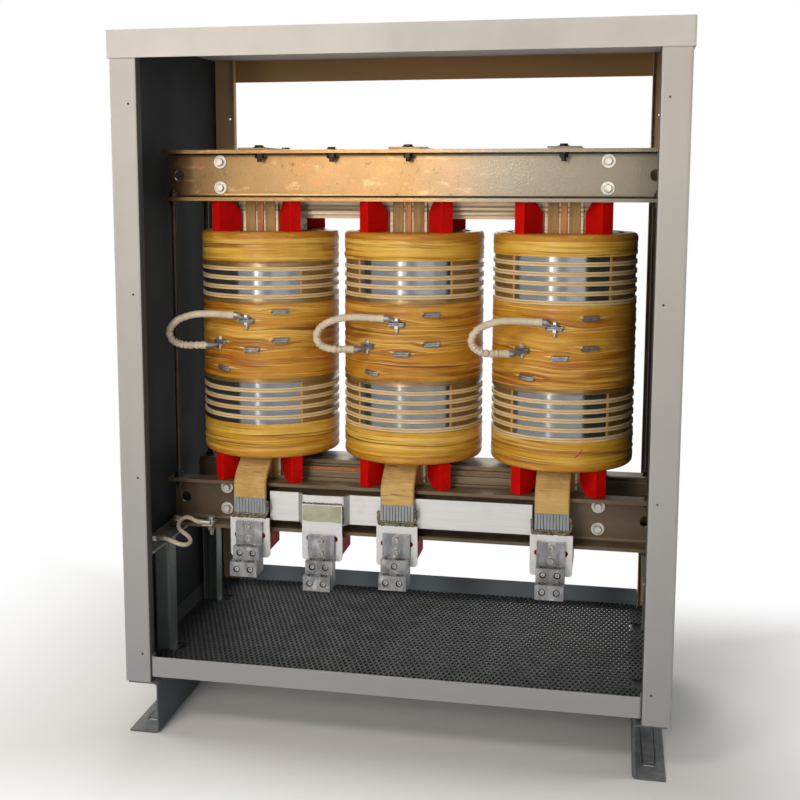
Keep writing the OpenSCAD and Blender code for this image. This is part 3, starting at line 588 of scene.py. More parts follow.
RESIN = Finish(
    "amber_resin", Slot.RESIN, tone(200, 150, 46),
    (Layer(tone(226, 186, 84), (0.22, 0.22, 4.0), 10.0, 0.45, 0.6, 0.85),
     Layer(tone(146, 88, 22), (0.26, 0.26, 6.0), 12.0, 0.52, 0.64, 0.85),
     Layer(tone(168, 108, 30), (1.0, 1.0, 0.7), 5.0, 0.5, 0.72, 0.5),
     Layer(tone(232, 202, 116), (0.14, 0.14, 13.0), 20.0, 0.57, 0.64, 0.65),
     Layer(tone(84, 46, 12), (0.12, 0.12, 13.0), 17.0, 0.6, 0.66, 0.85)),
    rough=(0.3, 0.48), specular=0.22, coat=0.14, coat_rough=0.2, relief=0.0013, relief_scale=46.0,
    relief_stretch=(0.3, 0.3, 6.0), wrapped=True,
)
MID_RESIN = replace(
    RESIN, name="brown_resin", base=tone(190, 134, 40),
    layers=(Layer(tone(214, 168, 72), (0.22, 0.22, 4.0), 10.0, 0.47, 0.62, 0.8),
            Layer(tone(140, 78, 20), (0.26, 0.26, 6.0), 12.0, 0.5, 0.62, 0.85),
            Layer(tone(168, 92, 28), (0.6, 0.6, 1.6), 7.0, 0.5, 0.66, 0.7),
            Layer(tone(236, 200, 118), (0.14, 0.14, 13.0), 20.0, 0.58, 0.64, 0.65),
            Layer(tone(78, 40, 10), (0.12, 0.12, 13.0), 17.0, 0.59, 0.65, 0.9)),
)
RIM = Finish(
    "rim_cloth", Slot.RESIN, tone(188, 130, 42),
    (Layer(tone(160, 100, 28), (0.6, 0.6, 2.0), 14.0, 0.46, 0.66, 0.8),
     Layer(tone(216, 168, 74), (0.4, 0.4, 3.0), 26.0, 0.54, 0.68, 0.7)),
    rough=(0.36, 0.54), specular=0.22, coat=0.1, coat_rough=0.25, relief=0.0008, relief_scale=90.0,
    relief_stretch=(0.6, 0.6, 2.0), wrapped=True,
)
AMBER = Finish(
    "covered_strip", Slot.RESIN, tone(134, 104, 54),
    (Layer(tone(104, 76, 34), (0.3, 0.3, 6.0), 24.0, 0.44, 0.64, 0.85),
     Layer(tone(172, 144, 90), (0.2, 0.2, 9.0), 30.0, 0.58, 0.7, 0.6)),
    metallic=0.35, rough=(0.24, 0.38), coat=0.4, coat_rough=0.15, relief=0.0003, relief_scale=90.0,
    relief_stretch=(0.2, 0.2, 6.0), wrapped=True,
)
INNER_RESIN = Finish(
    "inner_resin", Slot.RESIN, tone(150, 98, 38),
    (Layer(tone(110, 66, 22), (0.5, 0.5, 5.0), 18.0, 0.45, 0.65, 0.9),
     Layer(tone(186, 140, 72), EVEN, 34.0, 0.56, 0.7, 0.7)),
    rough=(0.34, 0.52), specular=0.35, coat=0.2, relief=0.0006, relief_scale=90.0,
)
CREAM = Finish(
    "cream_tape", Slot.TAPE, tone(214, 192, 152),
    (Layer(tone(196, 168, 120), (0.4, 0.4, 1.0), 26.0, 0.42, 0.66, 0.7),
     Layer(tone(230, 214, 182), (0.3, 0.3, 3.0), 60.0, 0.55, 0.7, 0.6)),
    rough=(0.42, 0.6), specular=0.35, relief=0.0002, relief_scale=600.0, relief_stretch=(0.2, 0.2, 2.0),
)
GOLD = Finish(
    "golden_tape", Slot.TAPE, tone(192, 148, 82),
    (Layer(tone(168, 122, 58), (0.4, 0.4, 2.0), 30.0, 0.45, 0.66, 0.8),),
    rough=(0.38, 0.55), specular=0.35, relief=0.0002, relief_scale=600.0,
)
LEAD_TAPE = Finish(
    "lead_tape", Slot.TAPE, tone(204, 166, 102),
    (Layer(tone(176, 132, 72), EVEN, 20.0, 0.48, 0.7, 0.7),
     Layer(tone(224, 194, 136), (0.4, 1.0, 6.0), 60.0, 0.52, 0.68, 0.7),
     Layer(tone(112, 74, 34), (0.35, 1.0, 5.0), 44.0, 0.6, 0.7, 0.8)),
    rough=(0.48, 0.66), specular=0.3, relief=0.0003, relief_scale=320.0, relief_stretch=(1.0, 1.0, 2.0),
    weave=(44.0, 420.0),
)
BOARD = Finish(
    "tan_board", Slot.BOARD, tone(158, 122, 66),
    (Layer(tone(122, 88, 44), (4.0, 4.0, 0.3), 30.0, 0.45, 0.66, 0.8),
     Layer(tone(190, 152, 98), (5.0, 5.0, 0.2), 44.0, 0.56, 0.7, 0.6)),
    rough=(0.5, 0.7), relief=0.0003, relief_scale=300.0, relief_stretch=(3.0, 3.0, 0.2),
)
COPPER = Finish(
    "amber_strip", Slot.COPPER, tone(160, 96, 42),
    (Layer(tone(118, 66, 26), (3.0, 3.0, 0.4), 24.0, 0.45, 0.68, 0.8),
     Layer(tone(190, 124, 66), EVEN, 60.0, 0.58, 0.72, 0.6)),
    metallic=0.25, rough=(0.36, 0.52), relief=0.0002, relief_scale=500.0,
)
RED = Finish(
    "red_laminate", Slot.RED, tone(196, 14, 10),
    (Layer(tone(168, 9, 7), EVEN, 22.0, 0.45, 0.7, 0.7),
     Layer(tone(200, 22, 14), (1.0, 1.0, 0.4), 90.0, 0.64, 0.78, 0.35)),
    rough=(0.5, 0.64), specular=0.06, relief=0.0003, relief_scale=700.0,
)
STRIP = Finish(
    "bright_strip", Slot.ALUMINIUM, tone(126, 129, 134),
    (Layer(tone(106, 109, 114), (0.2, 0.2, 8.0), 50.0, 0.45, 0.65, 0.7),),
    metallic=0.86, rough=(0.18, 0.24), brushed=0.75,
)
FOIL = Finish(
    "bare_foil", Slot.ALUMINIUM, tone(136, 140, 142),
    (Layer(tone(112, 112, 108), (3.0, 1.0, 0.3), 60.0, 0.45, 0.66, 0.8),),
    metallic=0.7, rough=(0.3, 0.46), relief=0.0001, relief_scale=400.0,
)
PLATE = Finish(
    "brushed_plate", Slot.ALUMINIUM, tone(196, 196, 195),
    (Layer(tone(184, 184, 182), (0.1, 1.0, 3.0), 90.0, 0.4, 0.68, 0.7),
     Layer(tone(166, 162, 158), EVEN, 14.0, 0.58, 0.78, 0.5)),
    metallic=0.7, rough=(0.3, 0.46), relief=0.0001, relief_scale=500.0,
    relief_stretch=(0.05, 1.0, 2.0), dust=0.1,
)
DULL = Finish(
    "dull_patch", Slot.ALUMINIUM, tone(160, 160, 140),
    (Layer(tone(136, 134, 112), EVEN, 22.0, 0.45, 0.68, 0.8),
     Layer(tone(194, 192, 176), EVEN, 60.0, 0.6, 0.74, 0.6)),
    metallic=0.4, rough=(0.42, 0.6), relief=0.0002, relief_scale=500.0,
)
LUG = Finish(
    "lug_metal", Slot.ALUMINIUM, tone(140, 141, 144),
    (Layer(tone(108, 109, 112), (1.0, 1.0, 0.2), 70.0, 0.42, 0.6, 0.9),
     Layer(tone(84, 80, 76), EVEN, 36.0, 0.56, 0.7, 0.7),
     Layer(tone(206, 205, 202), EVEN, 22.0, 0.56, 0.7, 0.6)),
    metallic=0.65, rough=(0.32, 0.5), relief=0.0001, relief_scale=700.0, dust=0.1,
)
WELD = Finish(
    "weld_metal", Slot.ALUMINIUM, tone(122, 112, 94),
    (Layer(tone(76, 64, 48), EVEN, 160.0, 0.4, 0.62, 0.85),
     Layer(tone(196, 190, 176), EVEN, 70.0, 0.58, 0.74, 0.7)),
    metallic=0.5, rough=(0.38, 0.6), relief=0.0006, relief_scale=420.0,
)
SLEEVE = Finish(
    "braided_sleeve", Slot.SLEEVE, tone(212, 200, 180),
    (Layer(tone(188, 172, 146), EVEN, 46.0, 0.44, 0.7, 0.7),
     Layer(tone(232, 222, 200), EVEN, 90.0, 0.56, 0.7, 0.5)),
    rough=(0.5, 0.7), specular=0.3, relief=0.0002, relief_scale=700.0, weave=(9.0, 260.0),
)
TAIL = Finish(
    "torn_tape", Slot.TAPE, tone(222, 186, 108),
    (Layer(tone(150, 96, 34), (0.4, 0.4, 4.0), 60.0, 0.46, 0.64, 0.8),
     Layer(tone(232, 208, 142), (0.3, 0.3, 5.0), 80.0, 0.56, 0.68, 0.7)),
    rough=(0.36, 0.54), specular=0.25, relief=0.0005, relief_scale=300.0, relief_stretch=(0.4, 0.4, 3.0),
)
RED_MARK = Finish(
    "red_paint", Slot.RESIN, tone(186, 44, 30),
    (Layer(tone(140, 26, 18), EVEN, 120.0, 0.45, 0.7, 0.8),),
    rough=(0.3, 0.5), relief=0.0002, relief_scale=500.0,
)

NODE_FINISHES: dict[str, Finish] = {
    "top_cap": CAP,
    **{name: PAINT for name in ("front_left_post", "front_right_post", "front_base_rail", "left_base_rail",
                              "right_base_rail")},
    **{name: REAR_POST for name in ("rear_left_post", "rear_right_post")},
    **{name: PANEL for name in ("left_side_panel", "right_side_panel")},
    "rear_base_rail": RAIL,
    **{name: SLATE for name in ("left_foot", "right_foot")},
    **{name: SHELF for name in ("left_shelf", "right_shelf", "shelf_legs")},
    **{name: CLAMP for name in ("upper_front_clamp", "upper_rear_clamp", "tie_plates")},
    **{name: DARK_CLAMP for name in ("lower_front_clamp", "lower_rear_clamp")},
    **{name: CORE for name in ("upper_yoke", "core_legs")},
    "lower_yoke": DARK_CORE,
    **{name: RED for name in ("upper_blocks", "lower_blocks", "standoffs")},
    **{name: PLATE for name in ("terminal_pads", "neutral_bus")},
    **{name: BOARD for name in ("duct_sticks", "leg_boards")},
    "rubber_pads": RUBBER,
    "tie_rods": ROD,
    "inner_windings": INNER_RESIN,
    "leg_strips": COPPER,
    "strap_lugs": ZINC,
}
BEVELS: dict[str, float] = {
    "top_cap": 0.0025,
    "standoffs": 0.001,
    **{name: 0.0012 for name in ("upper_blocks", "lower_blocks", "neutral_bus", "terminal_pads")},
    **{name: 0.0006 for name in ("upper_yoke", "lower_yoke", "core_legs")},
    **{f"{end}_{side}_post": 0.0 for end in ("front", "rear") for side in ("left", "right")},
    **{f"{level}_{end}_clamp": 0.0 for level in ("upper", "lower") for end in ("front", "rear")},
}
PLAIN_BEVEL = 0.0014


def seat(at: Sequence[float], out: Sequence[float], spin: float = 0.0) -> Matrix:
    """Makes the placing of a part that stands on a face.

    Args:
        at: Point on the face.
        out: Direction in which the part's own Z points.
        spin: Turn about that direction, in degrees.

    Returns:
        The placing matrix.
    """
    turn = Vector(out).to_track_quat("Z", "Y").to_matrix().to_4x4()
    return Matrix.Translation(at) @ turn @ Matrix.Rotation(math.radians(spin), 4, "Z")


def angles(sides: int) -> np.ndarray:
    """Even angles round a full turn."""
    return np.arange(sides) * math.tau / sides


def way_along(path: np.ndarray) -> np.ndarray:
    """Length of a path from its start to each of its stations."""
    return np.concatenate([[0.0], np.cumsum(np.linalg.norm(np.diff(path, axis=0), axis=1))])


def ring_at(radius: Any, angle: np.ndarray, level: Any, axis_x: float = 0.0) -> np.ndarray:
    """Points of a ring about an upright axis, with one radius and level or one for each angle."""
    return np.column_stack([axis_x + radius * np.cos(angle), radius * np.sin(angle), np.full(len(angle), level)])


class Draft:
    """Points and faces gathered for one mesh piece."""

    def __init__(self) -> None:
        """Starts with no points."""
        self.points: list[np.ndarray] = []
        self.faces: list[tuple[int, ...]] = []
        self.wraps: list[Pair] = []
        self.kinds: list[int] = []
        self.count = 0

    def add(self, points: np.ndarray, faces: Sequence[Sequence[int]], place: Matrix | None = None, kind: int = 0,
            wraps: Sequence[Pair] | None = None) -> None:
        """Adds points and the faces between them.

        Args:
            points: Rows of X, Y and Z.
            faces: Point numbers of each face.
            place: Where the points go, if they aren't in place.
            kind: Number of the finish.
            wraps: Wrap coordinates of each face corner.
        """
        points = np.asarray(points, float).reshape(-1, 3)
        if place is not None:
            turn = np.array(place)
            points = points @ turn[:3, :3].T + turn[:3, 3]
        self.points.append(points)
        self.faces.extend(tuple(i + self.count for i in face) for face in faces)
        corners = sum(len(face) for face in faces)
        self.wraps.extend(wraps if wraps is not None else [(0.0, 0.0)] * corners)
        self.kinds.extend([kind] * len(faces))
        self.count += len(points)

    def grid(self, rows: np.ndarray, ring: bool = True, caps: bool = False, place: Matrix | None = None,
             kinds: np.ndarray | None = None, kind: int = 0, levels: np.ndarray | None = None) -> None:
        """Adds a skin over rows of points.

        Args:
            rows: Stations, each with the same number of points.
            ring: Whether each row closes on itself.
            caps: Whether the first and last row are filled.
            place: Where the rows go, if they aren't in place.
            kinds: Number of the finish of each face, by row and column.
            kind: Number of the finish where kinds isn't given.
            levels: Second wrap coordinate of each point, if it isn't the way along the rows.
        """
        rows = np.asarray(rows, float)
        m, n = rows.shape[:2]
        across = n if ring else n - 1
        if levels is None:
            steps = np.linalg.norm(np.diff(rows, axis=0), axis=2).mean(axis=1)
            levels = np.repeat(np.concatenate([[0.0], np.cumsum(steps)])[:, None], n, axis=1)
        if kinds is None:
            kinds = np.full((m - 1, across), kind)
        faces, wraps = [], []
        for i in range(m - 1):
            for j in range(across):
                k = (j + 1) % n
                faces.append((i * n + j, i * n + k, (i + 1) * n + k, (i + 1) * n + j))
                u0, u1 = j / across, (j + 1) / across
                wraps += [(u0, levels[i, j]), (u1, levels[i, k]), (u1, levels[i + 1, k]), (u0, levels[i + 1, j])]
        marks = np.asarray(kinds)[:m - 1, :across].ravel().tolist()
        if caps:
            faces += [tuple(range(n))[::-1], tuple((m - 1) * n + j for j in range(n))]
            wraps += [(0.0, 0.0)] * (2 * n)
            marks += [marks[0], marks[-1]]
        self.add(rows.reshape(-1, 3), faces, place, kind, wraps)
        self.kinds[len(self.kinds) - len(marks):] = marks

    def turned(self, profile: Sequence[Pair], sides: int, place: Matrix | None = None,
               kind: int = 0) -> None:
        """Adds a solid turned about its own Z.

        Args:
            profile: Radius and height of each ring, from one end to the other.
            sides: Number of sides.
            place: Where the solid goes.
            kind: Number of the finish.
        """
        angle = angles(sides)
        self.grid(np.stack([ring_at(r, angle, z) for r, z in profile]), caps=True, place=place, kind=kind)

    def block(self, low: Sequence[float], high: Sequence[float], place: Matrix | None = None, kind: int = 0) -> None:
        """Adds a box between two corners.

        Args:
            low: Lowest corner.
            high: Highest corner.
            place: Where the box goes.
            kind: Number of the finish.
        """
        (x0, y0, z0), (x1, y1, z1) = low, high
        ring = [(x0, y0), (x1, y0), (x1, y1), (x0, y1)]
        rows = np.array([[(x, y, z) for x, y in ring] for z in (z0, z1)])
        self.grid(rows, caps=True, place=place, kind=kind)

    def build(self, name: str, finishes: Sequence[Finish], crease: float = SHARP_ANGLE,
              bevel: float = 0.0) -> bpy.types.Object:
        """Makes the piece.

        Args:
            name: Name of the piece.
            finishes: Finishes by number.
            crease: Angle in degrees above which an edge stays sharp.
            bevel: Width of a rounding on sharp edges.

        Returns:
            The piece, riding on the body.
        """
        mesh = bpy.data.meshes.new(name)
        mesh.from_pydata(np.concatenate(self.points).tolist(), [], self.faces)
        mesh.uv_layers.new(name=WRAP).uv.foreach_set("vector", np.array(self.wraps, float).ravel())
        mesh.polygons.foreach_set("material_index", self.kinds)
        for finish in finishes:
            mesh.materials.append(finish.material())
        work = bmesh.new()
        work.from_mesh(mesh)
        bmesh.ops.recalc_face_normals(work, faces=work.faces)
        work.to_mesh(mesh)
        work.free()
        mesh.shade_smooth()
        mesh.set_sharp_from_angle(angle=math.radians(crease))
        piece = bpy.data.objects.new(name, mesh)
        bpy.context.scene.collection.objects.link(piece)
        if bevel:
            soften(piece, bevel)
        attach(piece, BODY)
        LOG.info("piece %s: %d faces", name, len(self.faces))
        return piece


def soften(piece: bpy.types.Object, width: float, angle: float = 40.0) -> None:
    """Rounds the sharp edges of a piece with modifiers.

    Args:
        piece: The piece.
        width: Width of the rounding.
        angle: Angle in degrees above which an edge is rounded.
    """
    piece.modifiers.new("weld", "WELD").merge_threshold = WELD_GAP
    bevel = piece.modifiers.new("edges", "BEVEL")
    bevel.width = width
    bevel.segments = 2
    bevel.limit_method = "ANGLE"
    bevel.angle_limit = math.radians(angle)
    piece.modifiers.new("shading", "WEIGHTED_NORMAL").keep_sharp = True


def smooth_path(points: Sequence[Sequence[float]], steps: int = 8) -> np.ndarray:
    """Runs a smooth curve through points.

    Args:
        points: Points that the curve passes.
        steps: Stations between two points.

    Returns:
        The curve's stations.
    """
    p = np.asarray(points, float)
    p = np.vstack([2 * p[0] - p[1], p, 2 * p[-1] - p[-2]])
    out = []
    for a, b, c, d in zip(p[:-3], p[1:-2], p[2:-1], p[3:]):
        bend, twist = 2 * a - 5 * b + 4 * c - d, 3 * b - a - 3 * c + d
        out += [0.5 * (2 * b + (c - a) * t + bend * t**2 + twist * t**3) for t in np.arange(steps) / steps]
    return np.vstack([out, p[-2]])


def frames(path: np.ndarray, side: Sequence[float]) -> tuple[np.ndarray, np.ndarray]:
    """Carries two cross directions along a path without twist.

    Args:
        path: Stations of the path.
        side: Direction of the first cross direction at the start.

    Returns:
        Both cross directions at each station.
    """
    ways = np.gradient(path, axis=0)
    ways /= np.linalg.norm(ways, axis=1)[:, None]
    across = np.asarray(side, float)
    sides, ups = [], []
    for way in ways:
        across = across - way * across.dot(way)
        across = across / np.linalg.norm(across)
        sides.append(across)
        ups.append(np.cross(way, across))
    return np.stack(sides), np.stack(ups)


def swept(path: np.ndarray, section: np.ndarray, side: Sequence[float]) -> np.ndarray:
    """Carries a section along a path without twist.

    Args:
        path: Stations of the path.
        section: Section points, one set for each station or one for all.
        side: Direction of the section's first axis at the start.

    Returns:
        Rows of points, one row for each station.
    """
    sides, ups = frames(path, side)
    sets = section if section.ndim == 3 else np.repeat(section[None], len(path), axis=0)
    return path[:, None] + sets[:, :, :1] * sides[:, None] + sets[:, :, 1:] * ups[:, None]


def circle(radius: float, sides: int) -> np.ndarray:
    """Points of a circle about the origin, as rows of two coordinates."""
    return radius * np.column_stack([np.cos(angles(sides)), np.sin(angles(sides))])


WARM, PLAIN = tone(255, 246, 234), tone(255, 252, 248)


@dataclass(frozen=True)
class Lamp:
    """A soft lamp: its place, the point it faces, its width and height, its power in watts and its colour."""

    name: str
    at: Triple
    aim: Triple
    size: Pair
    power: float
    hue: Colour = PLAIN

    def hang(self) -> None:
        """Adds the lamp to the scene."""
        data = bpy.data.lights.new(self.name, "AREA")
        data.shape = "RECTANGLE"
        data.size, data.size_y = self.size
        data.energy, data.color = self.power, self.hue[:3]
        lamp = bpy.data.objects.new(self.name, data)
        lamp.location = self.at
        lamp.rotation_euler = (Vector(self.aim) - Vector(self.at)).to_track_quat("-Z", "Y").to_euler()
        bpy.context.scene.collection.objects.link(lamp)


@dataclass
class Studio:
    """Camera, floor, lamps and background."""

    eye: Triple = (0.47565, -2.82786, 1.26707)
    tilt: float = 82.45
    turn: float = 11.52
    sensor: float = 36.0
    lens: float = 54.21
    shift: Pair = (0.0339, -0.0776)
    ambient: float = 0.1
    ambient_tone: Colour = tone(246, 249, 255)
    floor_half: float = 40.0
    floor_tone: Colour = tone(236, 236, 235)
    foot_half: Pair = (0.62, 0.36)
    fade: Pair = (0.9, 2.4)
    lamps: tuple[Lamp, ...] = (
        Lamp("front", (-0.62, -3.9, 1.9), (0.0, 0.0, 1.1), (0.7, 1.2), 43.0, WARM),
        Lamp("streak", (-0.95, -3.9, 1.12), (-0.2, 0.0, 1.12), (0.22, 2.1), 17.0, WARM),
        Lamp("key", (-1.2, -2.4, 2.6), (0.0, 0.0, 1.1), (0.8, 0.8), 32.0, WARM),
        Lamp("fill", (1.7, -3.4, 1.4), (0.0, 0.0, 1.0), (2.0, 1.6), 12.0),
        Lamp("left", (-3.2, 0.3, 1.6), (0.0, 0.0, 0.8), (1.6, 1.6), 30.0),
        Lamp("right", (3.2, 0.3, 1.6), (0.0, 0.0, 0.8), (1.6, 1.6), 30.0),
        Lamp("back", (-0.8, 3.4, 2.6), (0.0, 0.0, 0.8), (1.6, 1.6), 58.0),
    )

    def camera(self) -> None:
        """Sets the camera where the photograph was taken from."""
        data = bpy.data.cameras.new("camera")
        data.sensor_width, data.lens = self.sensor, self.lens
        data.shift_x, data.shift_y = self.shift
        eye = bpy.data.objects.new("camera", data)
        eye.location = self.eye
        eye.rotation_euler = (math.radians(self.tilt), 0.0, math.radians(self.turn))
        bpy.context.scene.collection.objects.link(eye)
        bpy.context.scene.camera = eye

    @staticmethod
    def seen(sheet: Sheet) -> bpy.types.NodeSocket:
        """Finds the rays that show the plain background: seen, mirrored or let through.

        Args:
            sheet: Nodes of the floor or the world.

        Returns:
            The mask of those rays.
        """
        path = sheet.add("LightPath").outputs
        shown = path["Is Camera Ray"]
        for ray in ("Is Glossy Ray", "Is Transmission Ray"):
            shown = sheet.add("Math", {0: shown, 1: path[ray]}, operation="MAXIMUM").outputs[0]
        return shown

    def floor(self) -> None:
        """Lays a pale floor that fades to white far out."""
        h = self.floor_half
        mesh = bpy.data.meshes.new("floor")
        mesh.from_pydata([(-h, -h, 0), (h, -h, 0), (h, h, 0), (-h, h, 0)], [], [(0, 1, 2, 3)])
        paint = bpy.data.materials.new("pale_floor")
        paint.use_nodes = True
        paint.node_tree.nodes.clear()
        s = Sheet(paint.node_tree)
        spot = s.add("VectorMath", {0: s.add("TexCoord").outputs["Object"]}, operation="ABSOLUTE").outputs[0]
        shares = (1 / self.foot_half[0], 1 / self.foot_half[1], 0.0)
        spread = s.add("VectorMath", {0: spot, 1: shares}, operation="MULTIPLY").outputs[0]
        axes = s.add("SeparateXYZ", {0: spread}).outputs
        reach = s.add("Math", {0: axes["X"], 1: axes["Y"]}, operation="MAXIMUM").outputs[0]
        limits = {"Value": reach, "From Min": self.fade[0], "From Max": self.fade[1]}
        far = s.add("MapRange", limits, interpolation_type="SMOOTHSTEP").outputs[0]
        mask = s.add("Math", {0: far, 1: self.seen(s)}, operation="MULTIPLY").outputs[0]
        near = s.add("BsdfPrincipled", {"Base Color": self.floor_tone, "Roughness": 0.8})
        white = s.add("Emission", {"Strength": 1.0})
        both = s.add("MixShader", {0: mask, 1: near.outputs[0], 2: white.outputs[0]})
        s.add("OutputMaterial", {"Surface": both.outputs[0]})
        mesh.materials.append(paint)
        piece = bpy.data.objects.new("floor", mesh)
        bpy.context.scene.collection.objects.link(piece)

    def light(self) -> None:
        """Lights the scene softly, most of all from the front, with a white background."""
        for lamp in self.lamps:
            lamp.hang()
        world = bpy.data.worlds.new("studio")
        bpy.context.scene.world = world
        world.use_nodes = True
        world.node_tree.nodes.clear()
        s = Sheet(world.node_tree)
        soft = s.add("Background", {"Color": self.ambient_tone, "Strength": self.ambient})
        white = s.add("Background", {"Color": (1.0, 1.0, 1.0, 1.0), "Strength": 1.0})
        both = s.add("MixShader", {0: self.seen(s), 1: soft.outputs[0], 2: white.outputs[0]})
        s.add("OutputWorld", {"Surface": both.outputs[0]})
        bpy.context.scene.view_settings.view_transform = "Standard"


@dataclass
class Cord:
    """A short limp cable in a braided sleeve between two lugs."""

    name: str
    node: str
    route: np.ndarray
    diameter: float
    pucker: float
    seed: int
    cuff: float = 0.0007
    cuff_l: float = 0.014
    cuff_edge: float = 0.002
    fold_l: float = 0.0105
    fold_sway: float = 0.3
    sway_rate: float = 95.0
    fold_mean: float = 0.6
    fold_start: float = 0.01
    calm_share: float = 0.3
    calm_fade: float = 0.2
    calm_fold: float = 0.15
    thread: float = 0.006
    sides: int = 24

    def build(self) -> bpy.types.Object:
        """Returns:
            The cord.
        """
        path = smooth_path(self.route)
        run = way_along(path)
        draft = Draft()
        draft.grid(swept(path, self.sections(path, run), REARWARD), caps=True)
        piece = draft.build(self.name, [SLEEVE], crease=60.0)
        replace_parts(piece, self.node)
        return piece

    def sections(self, path: np.ndarray, run: np.ndarray) -> np.ndarray:
        """Shapes the sleeve: cuffs at the ends, and folds on the inner side of its bends.

        Args:
            path: Stations of the route.
            run: Way along the route of each station.

        Returns:
            Section points of each station.
        """
        rng = np.random.default_rng(self.seed)
        sides, ups = frames(path, REARWARD)
        bend = np.gradient(np.gradient(path, run, axis=0), run, axis=0)
        inner = np.arctan2((bend * ups).sum(axis=1), (bend * sides).sum(axis=1))
        angle = angles(self.sides)
        pace = 1.0 + self.fold_sway * np.sin(run * self.sway_rate + self.seed)
        phase = np.cumsum(np.gradient(run) * pace) / self.fold_l
        ends = np.minimum(run, run[-1] - run)
        late = np.clip((run / run[-1] - self.calm_share) / self.calm_fade, self.calm_fold, 1.0)
        grip = late * np.clip((ends - self.cuff_l) / self.fold_start, 0.0, 1.0)
        rows = []
        for s, at, toward, hold in zip(phase, ends, inner, grip):
            near = 0.5 + 0.5 * (0.5 + 0.5 * np.cos(angle - toward)) ** 1.5
            wave = abs(math.sin(math.pi * s)) - self.fold_mean
            radius = self.diameter / 2 + self.pucker * hold * wave * near
            radius += self.cuff * float(np.clip((self.cuff_l - at) / self.cuff_edge, 0.0, 1.0))
            radius *= 1.0 + self.thread * rng.standard_normal(self.sides)
            rows.append(np.column_stack([radius * np.cos(angle), radius * np.sin(angle)]))
        return np.stack(rows)


@dataclass
class Cords:
    """The three tap jumpers and the ground strap, with their routes in millimetres."""

    foot: Pair = (-0.165, 0.612556)
    jumper_d: float = 0.016
    jumper_pucker: float = 0.0036
    jumper: tuple[Triple, ...] = (
        (-38, -14, 341), (-52, -14, 341), (-74, -15, 342), (-98, -18, 343), (-126, -22, 342), (-152, -25, 336),
        (-174, -26, 326), (-188, -26, 312), (-193, -25, 296), (-187, -23, 281), (-172, -18, 271), (-152, -10, 267),
        (-132, -3, 267), (-110, -3, 267),
    )
    strap_d: float = 0.010
    strap_pucker: float = 0.0003
    strap_seed: int = 9
    strap: tuple[Triple, ...] = (
        (-488, -149, 447), (-499, -149, 447), (-509.3, -148.9, 450.4), (-518.3, -151.4, 455.6), (-526.5, -157, 458.4),
        (-533.5, -165, 457.4), (-537.6, -174.4, 452.8), (-537.2, -183, 446.4), (-532.5, -189.9, 439.9),
        (-524.5, -194.7, 434.7), (-514.9, -198.7, 430.4), (-505.5, -203.4, 425.9), (-498.5, -210.6, 421.4),
        (-495.3, -220.1, 417.9), (-496.6, -230.7, 416.2), (-502.4, -240.6, 417.1), (-511.6, -247, 420.4),
        (-522.6, -248.7, 424.9), (-534.5, -247.3, 428.8), (-547, -245.5, 431), (-560, -245.5, 431),
    )

    def build(self) -> None:
        """Makes the cords from the routes of the part's source."""
        for seed, (side, x) in enumerate(zip(SIDE_NAMES, COIL_X)):
            route = np.array(self.jumper) * MM + (x, *self.foot)
            Cord(f"{side}_jumper_sleeve", f"{side}_jumper", route, self.jumper_d, self.jumper_pucker, seed).build()
        route = np.array(self.strap) * MM
        Cord("ground_strap_sleeve", "ground_strap", route, self.strap_d, self.strap_pucker, self.strap_seed).build()


class Skin(IntEnum):
    """Finishes of a coil's skin, by their number in the mesh."""

    RESIN = 0
    STRIP = 1
    AMBER = 2
    RIM = 3
    MIDDLE = 4


@dataclass(frozen=True)
class Band:
    """Bare turns on a coil: rings of tape with bright strip between them, and what lies beside them.

    Attributes:
        share: Share of the coil's height at which the lowest ring lies.
        rings: Number of rings.
        under: Number of bare strips below the lowest ring.
        over: Number of bare strips above the highest ring.
        smoky_below: Whether covered strip shows below the band.
        smoky_above: Whether covered strip shows above the band.
    """

    share: float
    rings: int
    under: int
    over: int
    smoky_below: bool = False
    smoky_above: bool = False


@dataclass(frozen=True)
class Tap:
    """A tap on a coil: angle from the front, share of the height, lean, and how far its ends run to a point."""

    turn: float
    share: float
    tilt: float = 1.5
    point: float = 0.1


